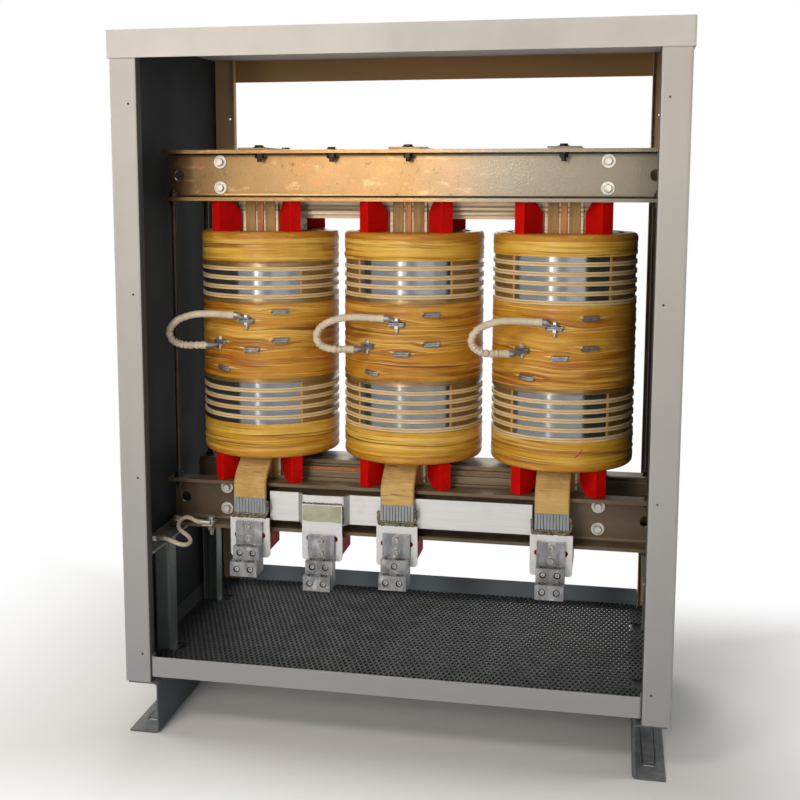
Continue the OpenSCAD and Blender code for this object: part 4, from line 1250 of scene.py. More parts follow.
@dataclass
class Coil:
    """One outer winding: tape soaked in resin, with two bands of bare strip and cream turns."""

    side: str
    axis_x: float
    seed: int
    bands: tuple[Band, Band]
    taps: tuple[Tap, ...]
    window: Pair
    outer_r: float = 0.165
    wall_r: float = 0.134
    low: float = 0.612556
    high: float = 1.144444
    rim: float = 0.009
    rim_relief: float = 0.6
    cloth_low: float = 0.006
    cloth_high: float = 0.007
    band_r: float = 0.162
    pitch: float = 0.0214
    ring_h: float = 0.010
    ring_out: float = 0.0003
    ring_sunk: float = 0.001
    ring_groove: float = 0.0007
    ring_sway: float = 0.0005
    ring_seed: int = 40
    stick_half: float = 0.0026
    stick_sunk: float = 0.0014
    hidden_turn: float = -80.0
    sides: int = 240
    row_step: float = 0.0028
    tape_pitch: float = 0.021
    lap: float = 0.0009
    lap_share: float = 0.85
    slant: Pair = (0.004, 0.002)
    sway: Pair = (0.0016, 0.0008)
    part: float = 0.0085
    part_run: float = 0.034
    part_rise: float = 0.016
    waves: int = 16
    wave_rise: Pair = (40.0, 520.0)
    wave_high: Pair = (0.00005, 0.0002)
    sunk: float = 0.0004

    def level(self, share: float) -> float:
        """Height of a share of the coil."""
        return self.low + share * (self.high - self.low)

    def span(self, band: Band) -> Pair:
        """Finds the height that a band takes.

        Args:
            band: The band.

        Returns:
            Its lowest and highest level.
        """
        bare = self.pitch - self.ring_h
        foot = self.level(band.share) - self.ring_h / 2
        head = foot + (band.rings - 1) * self.pitch + self.ring_h
        return foot - band.under * bare, head + band.over * bare

    def marks(self) -> list[tuple[float, Skin]]:
        """Lists the levels at which the skin changes.

        Returns:
            Each level with the skin above it.
        """
        bare = self.pitch - self.ring_h
        marks = [(self.low + self.rim + self.cloth_low, Skin.RESIN)]
        for band, after in zip(self.bands, (Skin.MIDDLE, Skin.RESIN)):
            foot, head = self.span(band)
            marks += [(foot - bare, Skin.AMBER)] if band.smoky_below else []
            marks += [(foot, Skin.STRIP), (head, Skin.AMBER if band.smoky_above else after)]
            marks += [(head + bare, after)] if band.smoky_above else []
        top = self.high - self.rim
        return marks + [(top - self.cloth_high, Skin.RIM), (top, Skin.RIM)]

    def profile(self) -> list[tuple[float, float, float, Skin]]:
        """Lists the section's stations.

        Returns:
            Radius, height, share of the tape's relief and skin of each station.
        """
        bend = np.radians(np.linspace(0, 90, 6))
        edge = [(self.outer_r - self.rim * (1 - math.sin(a)), self.rim * (1 - math.cos(a))) for a in bend]
        stations = [(self.wall_r, self.low, 0.0, Skin.RIM)]
        stations += [(r, self.low + lift, self.rim_relief, Skin.RIM) for r, lift in edge]
        level, kind = self.low + self.rim, Skin.RIM
        for z, after in self.marks():
            if kind == Skin.STRIP:
                stations += [(self.band_r, level, 0.0, kind), (self.band_r, z, 0.0, after)]
                stations.append((self.outer_r, z, 1.0, after))
            else:
                count = max(2, round((z - level) / self.row_step))
                stations += [(self.outer_r, h, 1.0, kind) for h in np.linspace(level, z, count)[1:-1]]
                stations.append((self.outer_r, z, 1.0, after))
            level, kind = z, after
        stations += [(r, self.high - lift, self.rim_relief, Skin.RIM) for r, lift in edge[-2::-1]]
        return stations + [(self.wall_r, z, 0.0, Skin.RIM) for z in (self.high, self.low)]

    def wound(self, turn: np.ndarray, z: float) -> np.ndarray:
        """Finds the tape's level: tapes part above and below each tap, as grain does round a knot.

        Args:
            turn: Angles from the front, in radians.
            z: The height.

        Returns:
            The level at each angle.
        """
        out = np.full(len(turn), z)
        for tap in self.taps:
            run = self.outer_r * ((turn - math.radians(tap.turn) + math.pi) % math.tau - math.pi)
            rise = z - self.level(tap.share)
            push = self.part * np.exp(-(run / self.part_run) ** 2) * math.exp(-abs(rise) / self.part_rise)
            out -= np.sign(rise) * push
        return out + self.sway[0] * np.sin(turn * 2 + self.seed) + self.sway[1] * np.sin(turn * 5 + 3 * self.seed)

    def relief(self, angle: np.ndarray, level: np.ndarray, waves: np.ndarray) -> np.ndarray:
        """Works out how far the tape stands out at one station.

        Args:
            angle: Angles round the coil.
            level: Level of the tape at each angle.
            waves: Random waves: turns, rise, phase and height.

        Returns:
            The distance at each angle.
        """
        slope = self.slant[0] * np.sin(angle + waves[0, 2]) + self.slant[1] * np.sin(3 * angle + waves[1, 2])
        lap = ((level + slope) / self.tape_pitch) % 1.0
        shingle = self.lap * np.where(lap < self.lap_share, lap / self.lap_share, (1 - lap) / (1 - self.lap_share))
        return shingle + sum(h * np.cos(n * angle + k * level + p) for n, k, p, h in waves) - self.sunk

    def build(self) -> None:
        """Makes the wound body, which stands for the coil's solid."""
        rng = np.random.default_rng(self.seed)
        waves = np.column_stack([rng.integers(0, 7, self.waves), rng.uniform(*self.wave_rise, self.waves),
                                 rng.uniform(0, math.tau, self.waves), rng.uniform(*self.wave_high, self.waves)])
        angle = angles(self.sides)
        turn = (angle + math.pi / 2 + math.pi) % math.tau - math.pi
        bare = (np.degrees(turn) > self.window[0]) & (np.degrees(turn) < self.window[1])
        rows, kinds, levels = [], [], []
        for r, z, share, kind in self.profile():
            wound = self.wound(turn, z)
            rows.append(ring_at(r + share * self.relief(angle, wound, waves), angle, z, self.axis_x))
            other = Skin.AMBER if kind == Skin.STRIP else kind
            kinds.append(np.where(bare, int(kind), int(other)))
            levels.append(wound)
        draft = Draft()
        draft.grid(np.stack(rows), kinds=np.stack(kinds), levels=np.stack(levels))
        piece = draft.build(f"{self.side}_coil_wrap", [RESIN, STRIP, AMBER, RIM, MID_RESIN], crease=50.0)
        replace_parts(piece, f"{self.side}_coil")

    def add_rings(self, draft: Draft) -> None:
        """Adds the cream turns of both bands, and the sticks that show between them.

        Args:
            draft: The mesh that takes them.
        """
        rng = np.random.default_rng(self.seed + self.ring_seed)
        angle = angles(self.sides)
        half, out = self.ring_h / 2, self.outer_r - self.band_r + self.ring_out
        edge = [(-self.ring_sunk, 1.0), (out * 0.8, 1.0), (out, 0.8), (out, 0.34), (out - self.ring_groove, 0.2)]
        shape = [(d, -h) for d, h in edge] + edge[::-1]
        kinds = np.zeros((len(shape) - 1, self.sides), int)
        kinds[len(edge) - 1] = 1
        for band in self.bands:
            for k in range(band.rings):
                middle = self.level(band.share) + k * self.pitch
                sway = self.ring_sway * np.sin(angle + rng.uniform(0, math.tau))
                rows = [ring_at(self.band_r + d, angle, middle + h * half + sway, self.axis_x) for d, h in shape]
                draft.grid(np.stack(rows), kinds=kinds)
            foot, head = self.span(band)
            for turn in (side for side in self.window if side > self.hidden_turn):
                place = Matrix.Translation((self.axis_x, 0, 0)) @ Matrix.Rotation(math.radians(turn), 4, "Z")
                low = (-self.stick_half, -self.outer_r + self.stick_sunk, foot)
                draft.block(low, (self.stick_half, -self.band_r, head), place, 1)


@dataclass
class Coils:
    """The three coils with their rings, taps and tape tails."""

    free_taps: tuple[Tap, ...] = (Tap(23, 0.658), Tap(23, 0.532), Tap(0, 0.490), Tap(-26, 0.401, -7.0, 0.5))
    joined_taps: tuple[Tap, ...] = (Tap(-4, 0.616, 0.0), Tap(-30, 0.517, 0.0))
    bands: tuple[tuple[Band, Band], ...] = (
        (Band(0.1854, 4, 1, 1, smoky_above=True), Band(0.7187, 4, 0, 0, True, True)),
        (Band(0.1532, 5, 0, 1, smoky_above=True), Band(0.7299, 4, 0, 1, smoky_below=True)),
        (Band(0.1414, 5, 0, 1, smoky_above=True), Band(0.7171, 5, 0, 1)),
    )
    windows: Pairs = ((-100.0, 41.0), (-41.0, 41.0), (-41.0, 41.0))
    seed: int = 11
    lug_paths: tuple[tuple[Triple, ...], ...] = (
        ((-50, -179, 953.6), (-38, -179, 953.6), (-30, -178.5, 953.2), (-23, -175, 949.5), (-16, -171, 946.8),
         (-8, -169, 946.6), (-1, -168.5, 946.6)),
        ((-122, -168, 879.6), (-110, -168, 879.6), (-103, -165, 879.5), (-96, -158, 880.2), (-90, -151, 880.8),
         (-84, -147, 880.9), (-77, -143, 880.9)),
    )
    barrel_r: float = 0.0074
    tongue_half: float = 0.0096
    tongue_t: float = 0.0016
    flat_from: float = 0.42
    flat_over: float = 0.22
    close_over: float = 0.1
    close_least: float = 0.3
    square: float = 0.6
    tab_half: float = 0.0195
    tab_deep: float = 0.0125
    tab_sunk: float = 0.004
    tab_lean: float = -9.0
    tab_bars: tuple[Triple, ...] = ((-0.0048, -0.0004, 0.0012), (0.0002, 0.0046, -0.0014))
    tab_shoulder: float = 0.6
    tab_edge: float = 0.0006
    tab_taper: float = 0.97
    tail_from: float = 5.5
    tail_reach: Pair = (5.0, 13.0)
    tail_half: float = 0.0034
    tail_end: float = 0.0002
    tail_rows: int = 12
    tail_lift: float = 0.003
    tail_out: float = 0.0011
    tail_sunk: float = 0.003
    tail_crown: float = 0.0005
    tail_up: float = 0.0012
    tail_drop: float = 0.002
    bolt_out: float = 0.0035
    bolt: tuple[tuple[int, Pairs], ...] = (
        (6, ((0.0062, 0.004), (0.0062, 0.0115), (0.0045, 0.0135))),
        (6, ((0.0068, -0.0045), (0.0068, -0.0105), (0.0056, -0.0118))),
        (14, ((0.0036, -0.0115), (0.0036, -0.0195), (0.0028, -0.0205))),
    )
    mark_turn: float = 13.0
    mark_sweep: float = 6.0
    mark_up: float = 0.036
    mark_rise: float = 0.018
    mark_half: float = 0.004
    mark_foot: float = 0.0002
    mark_crown: float = 0.0014
    mark_rows: int = 12
    mark_seed: int = 5

    def __post_init__(self) -> None:
        """Makes the three coils' sizes."""
        rows = zip(SIDE_NAMES, COIL_X, self.bands, self.windows)
        self.coils = [Coil(side, x, self.seed + i, bands, self.free_taps + self.joined_taps, window)
                      for i, (side, x, bands, window) in enumerate(rows)]

    def build(self) -> None:
        """Builds the wound bodies, then what sits on them."""
        rings, tabs, tails, bolts = Draft(), Draft(), Draft(), Draft()
        for coil in self.coils:
            coil.build()
            coil.add_rings(rings)
            for tap in self.free_taps:
                self.tab(tabs, coil, tap)
                self.tail(tails, coil, tap)
            for tap, path in zip(self.joined_taps, self.lug_paths):
                self.tab(tabs, coil, tap)
                self.tail(tails, coil, tap)
                self.cable_lug(tabs, coil, path)
                self.tap_bolt(bolts, coil, tap)
        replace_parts(rings.build("band_turns", [CREAM, GOLD], crease=60.0), "bare_turns")
        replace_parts(tabs.build("tap_tabs", [LUG]), "winding_taps")
        tails.build("tap_tails", [TAIL])
        bolts.build("tap_bolts", [ZINC])
        self.red_mark()

    @staticmethod
    def frame_at(coil: Coil, tap: Tap, out: float) -> Matrix:
        """Finds the placing of a part on the coil's front.

        Args:
            coil: The coil.
            tap: The tap that the part belongs to.
            out: Distance from the axis.

        Returns:
            A placing with X along the turn, Y outward and Z up.
        """
        a = math.radians(tap.turn)
        at = (coil.axis_x + out * math.sin(a), -out * math.cos(a), coil.level(tap.share))
        return Matrix.Translation(at) @ Matrix.Rotation(a, 4, "Z") @ Matrix.Rotation(math.pi, 4, "Z")

    def tab(self, draft: Draft, coil: Coil, tap: Tap) -> None:
        """Adds one tap: two bars folded flat on each other.

        Args:
            draft: The mesh that takes it.
            coil: The coil.
            tap: The tap.
        """
        lean = Matrix.Rotation(math.radians(tap.tilt), 4, "Y") @ Matrix.Rotation(math.radians(self.tab_lean), 4, "X")
        place = self.frame_at(coil, tap, coil.outer_r - self.tab_sunk) @ lean
        half, deep, shoulder = self.tab_half, self.tab_deep, self.tab_deep * self.tab_shoulder
        inset = half * tap.point
        outline = np.array([(-half, 0.0), (half, 0.0), (half, shoulder), (half - inset, deep), (inset - half, deep),
                            (-half, shoulder)])
        for low, high, shift in self.tab_bars:
            edge, taper = self.tab_edge, self.tab_taper
            ends = ((low, taper), (low + edge, 1.0), (high - edge, 1.0), (high, taper))
            rows = [np.column_stack([(outline + (shift, 0.0)) * k, np.full(len(outline), z)]) for z, k in ends]
            draft.grid(np.array(rows), caps=True, place=place)

    def cable_lug(self, draft: Draft, coil: Coil, points: Sequence[Triple]) -> None:
        """Adds the crimped lug between a jumper's end and its tap: a round barrel that runs out into a flat tongue.

        Args:
            draft: The mesh that takes it.
            coil: The coil.
            points: Points of the lug's middle line in millimetres from the coil's axis.
        """
        path = smooth_path(np.array(points) * MM + (coil.axis_x, 0.0, 0.0), 5)
        share = np.linspace(0.0, 1.0, len(path))
        flat = np.clip((share - self.flat_from) / self.flat_over, 0.0, 1.0)
        close = np.clip((1.0 - share) / self.close_over, self.close_least, 1.0)
        wide = self.barrel_r + (self.tongue_half - self.barrel_r) * flat
        thick = self.barrel_r + (self.tongue_t - self.barrel_r) * flat
        ring = circle(1.0, 20)
        square = np.sign(ring) * np.abs(ring) ** self.square
        sections = [(ring * (1 - f) + square * f) * (w * c, h) for f, w, h, c in zip(flat, wide, thick, close)]
        draft.grid(swept(path, np.stack(sections), REARWARD), caps=True)

    def tail(self, draft: Draft, coil: Coil, tap: Tap) -> None:
        """Adds the torn tape that runs out from a tap on both sides.

        Args:
            draft: The mesh that takes it.
            coil: The coil.
            tap: The tap.
        """
        rng = np.random.default_rng(round(1000 * tap.share) + coil.seed)
        for way in (-1, 1):
            reach = rng.uniform(*self.tail_reach)
            rows = []
            for t in np.linspace(0.0, 1.0, self.tail_rows):
                a = math.radians(tap.turn + way * (self.tail_from + reach * t))
                half = self.tail_half * (1 - t) ** 0.8 * rng.uniform(0.65, 1.2) + self.tail_end
                r = coil.outer_r + self.tail_lift * (1 - t) + self.tail_out
                side = [(r - self.tail_sunk, half), (r - self.tail_crown, half * 0.7)]
                edge = [(d, -h) for d, h in side] + [(r, 0.0)] + side[::-1]
                z = coil.level(tap.share) + self.tail_up - self.tail_drop * t * way
                rows.append([(coil.axis_x + d * math.sin(a), -d * math.cos(a), z + h) for d, h in edge])
            draft.grid(np.array(rows), caps=True)

    def tap_bolt(self, draft: Draft, coil: Coil, tap: Tap) -> None:
        """Adds the upright bolt of a joined tap, with its nut.

        Args:
            draft: The mesh that takes it.
            coil: The coil.
            tap: The tap.
        """
        place = self.frame_at(coil, tap, coil.outer_r + self.bolt_out)
        for sides, profile in self.bolt:
            draft.turned(profile, sides, place)

    def red_mark(self) -> None:
        """Dabs the paint mark low on the right coil."""
        coil = self.coils[2]
        rng = np.random.default_rng(self.mark_seed)
        foot, crown = coil.outer_r + self.mark_foot, coil.outer_r + self.mark_crown
        rows = []
        for t in np.linspace(0.0, 1.0, self.mark_rows):
            a = math.radians(self.mark_turn + self.mark_sweep * t)
            half = self.mark_half * math.sin(math.pi * (0.1 + 0.8 * t)) * rng.uniform(0.7, 1.2)
            z = coil.low + self.mark_up + self.mark_rise * t
            rows.append([(coil.axis_x + r * math.sin(a), -r * math.cos(a), z + h)
                         for r, h in ((foot, -half), (crown, 0.0), (foot, half))])
        draft = Draft()
        draft.grid(np.array(rows), ring=False)
        draft.build("red_mark", [RED_MARK])


@dataclass(frozen=True)
class Seam:
    """A lumpy weld bead: its radius, and the points of its middle line across and up an upright face."""

    radius: float
    points: Pairs
    on_left: bool = True
    station: float = 0.0014
    jitter: float = 0.0005
    ripple: float = 0.2
    ripple_rate: float = 1500.0
    lump: float = 0.12
    end: float = 0.4

    def lay(self, draft: Draft, at: Triple, rng: np.random.Generator) -> None:
        """Lays the bead.

        Args:
            draft: The mesh that takes it.
            at: Point on the face that the middle line is measured from.
            rng: Source of the lumps.
        """
        line = smooth_path([(at[0] + x, at[1], at[2] + z) for x, z in self.points], 40)
        run = way_along(line)
        even = np.linspace(0.0, run[-1], max(12, round(run[-1] / self.station)))
        path = np.column_stack([np.interp(even, run, line[:, axis]) for axis in range(3)])
        path[1:-1] += self.jitter * rng.standard_normal((len(path) - 2, 3))
        lumps = 1.0 + self.ripple * np.sin(even * self.ripple_rate) + self.lump * rng.standard_normal(len(path))
        lumps[0] = lumps[-1] = self.end
        sections = np.stack([circle(self.radius * lump, 12) for lump in lumps])
        draft.grid(swept(path, sections, REARWARD), caps=True)


@dataclass
class Lead:
    """One flat taped lead from the coil's foot down to its pad, with bare foils at its end."""

    side: str
    seed: int
    start_y: float = -0.109
    front_y: float = -0.162
    top_z: float = 0.6135
    neck_z: float = 0.598556
    knee_z: float = 0.561056
    tape_end: float = 0.518
    foil_end: float = 0.480
    pad_top: float = 0.4705
    half_wide: float = 0.039
    half_thick: float = 0.006
    corner: float = 0.004
    bend: float = 0.022
    bend_share: float = 0.45
    step: float = 0.0025
    lap_l: float = 0.013
    lap_slant: float = 0.16
    lap_rise: float = 0.09
    lap_spread: float = 0.008
    uneven: float = 0.02
    crown: float = 0.0012
    foils: int = 11
    foil_side: float = 0.0005
    foil_gap: float = 0.0007
    foil_stagger: float = 0.0006
    foil_ragged: Pair = (0.002, 0.008)
    foil_back: float = 0.001
    foil_lap: float = 0.004
    seams: tuple[Seam, ...] = (
        Seam(0.0036, ((-0.044, 0.003), (0.040, 0.003))),
        Seam(0.0026, ((-0.044, 0.0085), (0.040, 0.0085))),
        Seam(0.0030, ((-0.034, 0.003), (-0.043, 0.009), (-0.044, 0.034)), on_left=False),
        Seam(0.0034, ((0.030, 0.004), (0.041, 0.010), (0.044, 0.024), (0.042, 0.042))),
    )

    def path(self) -> np.ndarray:
        """Follows the bends of the lead in its upright plane.

        Returns:
            Stations of depth and height.
        """
        corners = np.array([(self.start_y, self.top_z), (self.start_y, self.neck_z), (self.front_y, self.knee_z),
                            (self.front_y, self.tape_end)])
        out = [corners[0]]
        for a, b, c in zip(corners[:-2], corners[1:-1], corners[2:]):
            before, after = np.linalg.norm(a - b), np.linalg.norm(c - b)
            cut = min(self.bend, self.bend_share * before, self.bend_share * after)
            for t in np.linspace(0, 1, 9):
                out.append(b + (a - b) / before * cut * (1 - t) ** 2 + (c - b) / after * cut * t**2)
        line = np.array(out + [corners[-1]])
        run = way_along(line)
        even = np.arange(0.0, run[-1], self.step)
        return np.column_stack([np.interp(even, run, line[:, 0]), np.interp(even, run, line[:, 1])])

    def build(self, welds: Draft) -> None:
        """Makes the taped body and its foils, which stand for the lead's solid, and its welds.

        Args:
            welds: The mesh that takes the weld beads.
        """
        low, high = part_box(f"{self.side}_lead")
        x = (low[0] + high[0]) / 2
        rng = np.random.default_rng(self.seed)
        self.tape(x, rng)
        self.foil_ends(x, rng)
        for seam in self.seams:
            if seam.on_left or self.side != "left":
                seam.lay(welds, (x, self.front_y - self.half_thick, self.pad_top), rng)

    def tape(self, x: float, rng: np.random.Generator) -> None:
        """Makes the taped body.

        Args:
            x: Middle of the lead, left to right.
            rng: Source of the unevenness.
        """
        flat = self.path()
        path = np.column_stack([np.full(len(flat), x), flat])
        w, t, c = self.half_wide, self.half_thick, self.corner
        turn = np.radians(np.linspace(0, 90, 5))
        quarter = np.column_stack([w - c + c * np.cos(turn), t - c + c * np.sin(turn)])
        top = np.column_stack([np.linspace(w - c, -w + c, 16)[1:-1], np.full(14, t)])
        half = np.vstack([quarter, top, quarter[::-1] * (-1, 1)])
        base = np.vstack([half, -half])
        crown = np.sign(base[:, 1]) * self.crown * (1 - (base[:, 0] / w) ** 2)
        sections = []
        for i in range(len(path)):
            lap = ((i * self.step + self.lap_slant * base[:, 0]) / self.lap_l) % 1.0
            grow = 1.0 + self.lap_rise * lap + self.uneven * rng.standard_normal(len(base))
            sections.append(np.column_stack([base[:, 0] * (1 + self.lap_spread * lap), base[:, 1] * grow + crown]))
        draft = Draft()
        draft.grid(swept(path, np.stack(sections), (1.0, 0.0, 0.0)), caps=True)
        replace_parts(draft.build(f"{self.side}_lead_tape", [LEAD_TAPE], crease=55.0), f"{self.side}_lead")

    def foil_ends(self, x: float, rng: np.random.Generator) -> None:
        """Makes the bare foils below the tape.

        Args:
            x: Middle of the lead, left to right.
            rng: Source of their ragged ends.
        """
        draft = Draft()
        pitch = 2 * self.half_wide / self.foils
        back, head = self.front_y + self.half_thick - self.foil_back, self.tape_end + self.foil_lap
        for k in range(self.foils):
            left = x - self.half_wide + k * pitch + self.foil_side
            front = self.front_y - self.half_thick + rng.uniform(-self.foil_stagger, self.foil_stagger)
            foot = self.foil_end - rng.uniform(*self.foil_ragged)
            draft.block((left, front, foot), (left + pitch - self.foil_gap, back, head))
        draft.build(f"{self.side}_lead_foils", [FOIL], bevel=0.0005)


@dataclass
class Terminals:
    """Leads, pads, bus welds and the four stepped cable lugs with their screws."""

    lugs: tuple[str, ...] = ("left_lug", "neutral_lug", "middle_lug", "right_lug")
    lug_edge: float = 0.0007
    tiers: Pairs = ((0.034, 0.049), (0.058, 0.017))
    hole_r: float = 0.0078
    hole_deep: float = 0.008
    hole_over: float = 0.002
    side_step: float = 0.016
    screw: Triple = (0.0056, 0.0050, 0.0032)
    screw_spin: float = 1000.0
    tongue_t: float = 0.010
    tongue_up: Pair = (0.0415, 0.0118)
    tongue_spin: float = 40.0 / 0.018
    tongue_washer: Pairs = ((0.0095, -0.0005), (0.0095, 0.0012), (0.009, 0.0016))
    tongue_screw: Triple = (0.0072, 0.006, 0.0048)
    tongue_lift: float = 0.0014
    lead_seed: int = 60
    seam_seed: int = 77
    seam_sunk: float = 0.0045
    seams: tuple[Seam, ...] = (
        Seam(0.0032, ((-0.047, 0.512), (0.047, 0.512))),
        Seam(0.0032, ((0.0485, 0.510), (0.049, 0.486), (0.0485, 0.464))),
    )
    patch_half: float = 0.0465
    patch_foot: float = 0.4705
    patch_top: float = 0.5105
    patch_edges: Pair = (0.0006, 0.001)
    patch_wave: float = 0.0015
    patch_rate: float = 70.0
    patch_slant: float = 0.05
    patch_sunk: float = 0.0006
    patch_t: float = 0.0004
    patch_points: int = 24

    def build(self) -> None:
        """Builds the leads, then the lugs and their screws."""
        welds, screws = Draft(), Draft()
        for i, side in enumerate(SIDE_NAMES):
            Lead(side, self.lead_seed + i).build(welds)
        rng = np.random.default_rng(self.seam_seed)
        low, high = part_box("neutral_lug")
        middle, front = (low[0] + high[0]) / 2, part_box("neutral_bus")[0][1]
        for seam in self.seams:
            seam.lay(welds, (middle, front + self.seam_sunk, 0.0), rng)
        for name in self.lugs:
            self.lug(name, screws)
        welds.build("weld_beads", [WELD], crease=70.0)
        screws.build("lug_screws", [SET_SCREW])
        self.patch(middle, front)

    def patch(self, middle: float, front: float) -> None:
        """Lays the dull coat over the upper part of the neutral pad.

        Args:
            middle: Middle of the pad, left to right.
            front: Front of the pad.
        """
        across = np.linspace(-self.patch_half, self.patch_half, self.patch_points)
        foot = self.patch_foot + self.patch_wave * np.sin(across * self.patch_rate) - self.patch_slant * across
        top = np.full(self.patch_points, self.patch_top)
        back, face = front + self.patch_sunk, front - self.patch_t
        edges = ((back, foot), (face, foot + self.patch_edges[0]), (face, top - self.patch_edges[1]), (back, top))
        rows = [np.column_stack([middle + across, np.full(len(across), y), level]) for y, level in edges]
        draft = Draft()
        draft.grid(np.array(rows), ring=False)
        draft.build("neutral_patch", [DULL])

    def lug(self, name: str, screws: Draft) -> None:
        """Cuts the set screw holes into one lug and fills them with screws.

        Args:
            name: The lug's node.
            screws: The mesh that takes the screws.
        """
        low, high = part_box(name)
        x, back, foot, top = (low[0] + high[0]) / 2, high[1], low[2], high[2]
        hole = [(self.hole_r, -self.hole_deep), (self.hole_r, self.hole_over)]
        cutter = Draft()
        for row, (out, up) in enumerate(self.tiers):
            steps = (0.0,) if name == "middle_lug" and row == 0 else (-self.side_step, self.side_step)
            for step in steps:
                face = (x + step, back - out, foot + up)
                cutter.turned(hole, 28, seat(face, FRONTWARD))
                sunk = (face[0], face[1] + self.hole_deep, face[2])
                self.set_screw(screws, seat(sunk, FRONTWARD, self.screw_spin * step), *self.screw)
        for up in self.tongue_up:
            place = seat((x, back - self.tongue_t, top - up), FRONTWARD, self.tongue_spin * up)
            screws.turned(self.tongue_washer, 28, place)
            self.set_screw(screws, place @ Matrix.Translation((0, 0, self.tongue_lift)), *self.tongue_screw)
        self.carve(name, cutter)

    @staticmethod
    def set_screw(draft: Draft, place: Matrix, radius: float, height: float, socket: float) -> None:
        """Adds a screw with a six-sided socket.

        Args:
            draft: The mesh that takes it.
            place: Placing of its foot.
            radius: Radius of the head.
            height: Height of the head.
            socket: Corner radius of the socket.
        """
        angle = angles(24)
        six = socket * math.cos(math.pi / 6) / np.cos((angle % (math.pi / 3)) - math.pi / 6)
        rings = [(radius, 0.0), (radius, height * 0.8), (radius * 0.9, height), (six, height), (six, height * 0.2)]
        draft.grid(np.stack([ring_at(r, angle, z) for r, z in rings]), caps=True, place=place)

    def carve(self, node: str, cutter: Draft) -> None:
        """Makes a piece from a node's shape with holes cut into it, which stands for the node.

        Args:
            node: The node.
            cutter: Shapes to cut away.
        """
        tool_mesh = bpy.data.meshes.new("cutter")
        tool_mesh.from_pydata(np.concatenate(cutter.points).tolist(), [], cutter.faces)
        tool = bpy.data.objects.new("cutter", tool_mesh)
        piece = bpy.data.objects.new(f"{node}_block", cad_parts[node].data.copy())
        for item in (tool, piece):
            bpy.context.scene.collection.objects.link(item)
        piece.modifiers.new("weld", "WELD").merge_threshold = WELD_GAP
        cut = piece.modifiers.new("holes", "BOOLEAN")
        cut.operation, cut.object, cut.solver = "DIFFERENCE", tool, "EXACT"
        solid = bpy.data.meshes.new_from_object(piece.evaluated_get(bpy.context.evaluated_depsgraph_get()))
        piece.modifiers.clear()
        piece.data = solid
        bpy.data.objects.remove(tool)
        solid.materials.clear()
        solid.materials.append(LUG.material())
        solid.shade_smooth()
        solid.set_sharp_from_angle(angle=math.radians(SHARP_ANGLE))
        soften(piece, self.lug_edge)
        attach(piece, BODY)
        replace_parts(piece, node)
        LOG.info("piece %s", piece.name)


@dataclass
class MeshFloor:
    """Expanded metal that lies in the base rails, cut away round the shelves' legs."""

    half_x: float = 0.6005
    half_y: float = 0.3415
    level: float = 0.1385
    pitch_x: float = 0.0127
    pitch_y: float = 0.0305
    strand: float = 0.0044
    thick: float = 0.005
    leg_x: float = 0.529
    leg_y: Pair = (0.147, 0.198)
    warp: Pair = (0.0012, 0.0006)

    def build(self) -> None:
        """Makes the strands, which stand for the mesh floor's solid."""
        hx, hy = self.pitch_x / 2, self.pitch_y / 2
        nx, ny = round(self.half_x / hx), round(self.half_y / hy)
        starts, ends = [], []
        for i in range(-nx, nx):
            for j in range(-ny, ny):
                rise = (i + j) % 2
                a, b = (i * hx, (j + rise) * hy), ((i + 1) * hx, (j + 1 - rise) * hy)
                mx, my = abs(a[0] + b[0]) / 2, abs(a[1] + b[1]) / 2
                if mx > self.leg_x and self.leg_y[0] < my < self.leg_y[1]:
                    continue
                starts.append(a)
                ends.append(b)
        a, b = np.array(starts), np.array(ends)
        way = (b - a) / np.linalg.norm(b - a, axis=1)[:, None]
        side = np.column_stack([-way[:, 1], way[:, 0]]) * self.strand / 2
        corners = []
        for p in (a, b):
            for out, up in ((-1, -1), (1, -1), (1, 1), (-1, 1)):
                z = self.level + self.wave(p) + up * self.thick / 2
                corners.append(np.column_stack([p + out * side, z]))
        quads = ((0, 1, 5, 4), (1, 2, 6, 5), (2, 3, 7, 6), (3, 0, 4, 7))
        faces = [tuple(8 * i + k for k in quad) for i in range(len(a)) for quad in quads]
        draft = Draft()
        draft.add(np.stack(corners, axis=1), faces)
        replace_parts(draft.build("expanded_mesh", [MESH_STEEL]), "mesh_floor")

    def wave(self, p: np.ndarray) -> np.ndarray:
        """How far the sheet is out of flat at points of the floor."""
        x, y = p[:, 0], p[:, 1]
        return self.warp[0] * np.sin(9 * x + 1.0) * np.cos(7 * y) + self.warp[1] * np.sin(23 * x + 11 * y)


@dataclass(frozen=True)
class Fastener:
    """A washer with a six-sided head or nut on it, and the thread that stands out of a nut.

    Attributes:
        head: Corner radius of the head.
        head_h: Height of the head.
        washer: Radius of the washer.
        washer_t: Thickness of the washer.
        end: Height of the thread.
        sunk: How far the washer reaches into the face.
    """

    head: float
    head_h: float
    washer: float
    washer_t: float
    end: float = 0.0
    sunk: float = 0.0004

    def add(self, draft: Draft, at: Sequence[float], out: Sequence[float], spin: float) -> None:
        """Adds the fastener.

        Args:
            draft: The mesh that takes it.
            at: Point on the face that the washer lies on.
            out: Direction away from that face.
            spin: Turn of the head, in degrees.
        """
        place = seat(at, out, spin)
        r, base, top = self.washer, self.washer_t, self.washer_t + self.head_h
        draft.turned([(r, -self.sunk), (r, base * 0.75), (r * 0.97, base)], 36, place)
        r = self.head
        draft.turned([(r, base), (r, base + self.head_h * 0.86), (r * 0.88, top)], 6, place)
        if self.end:
            r, tip = self.head * 0.52, top + self.end
            draft.turned([(r, top - 0.001), (r, top + self.end * 0.85), (self.head * 0.44, tip)], 18, place)


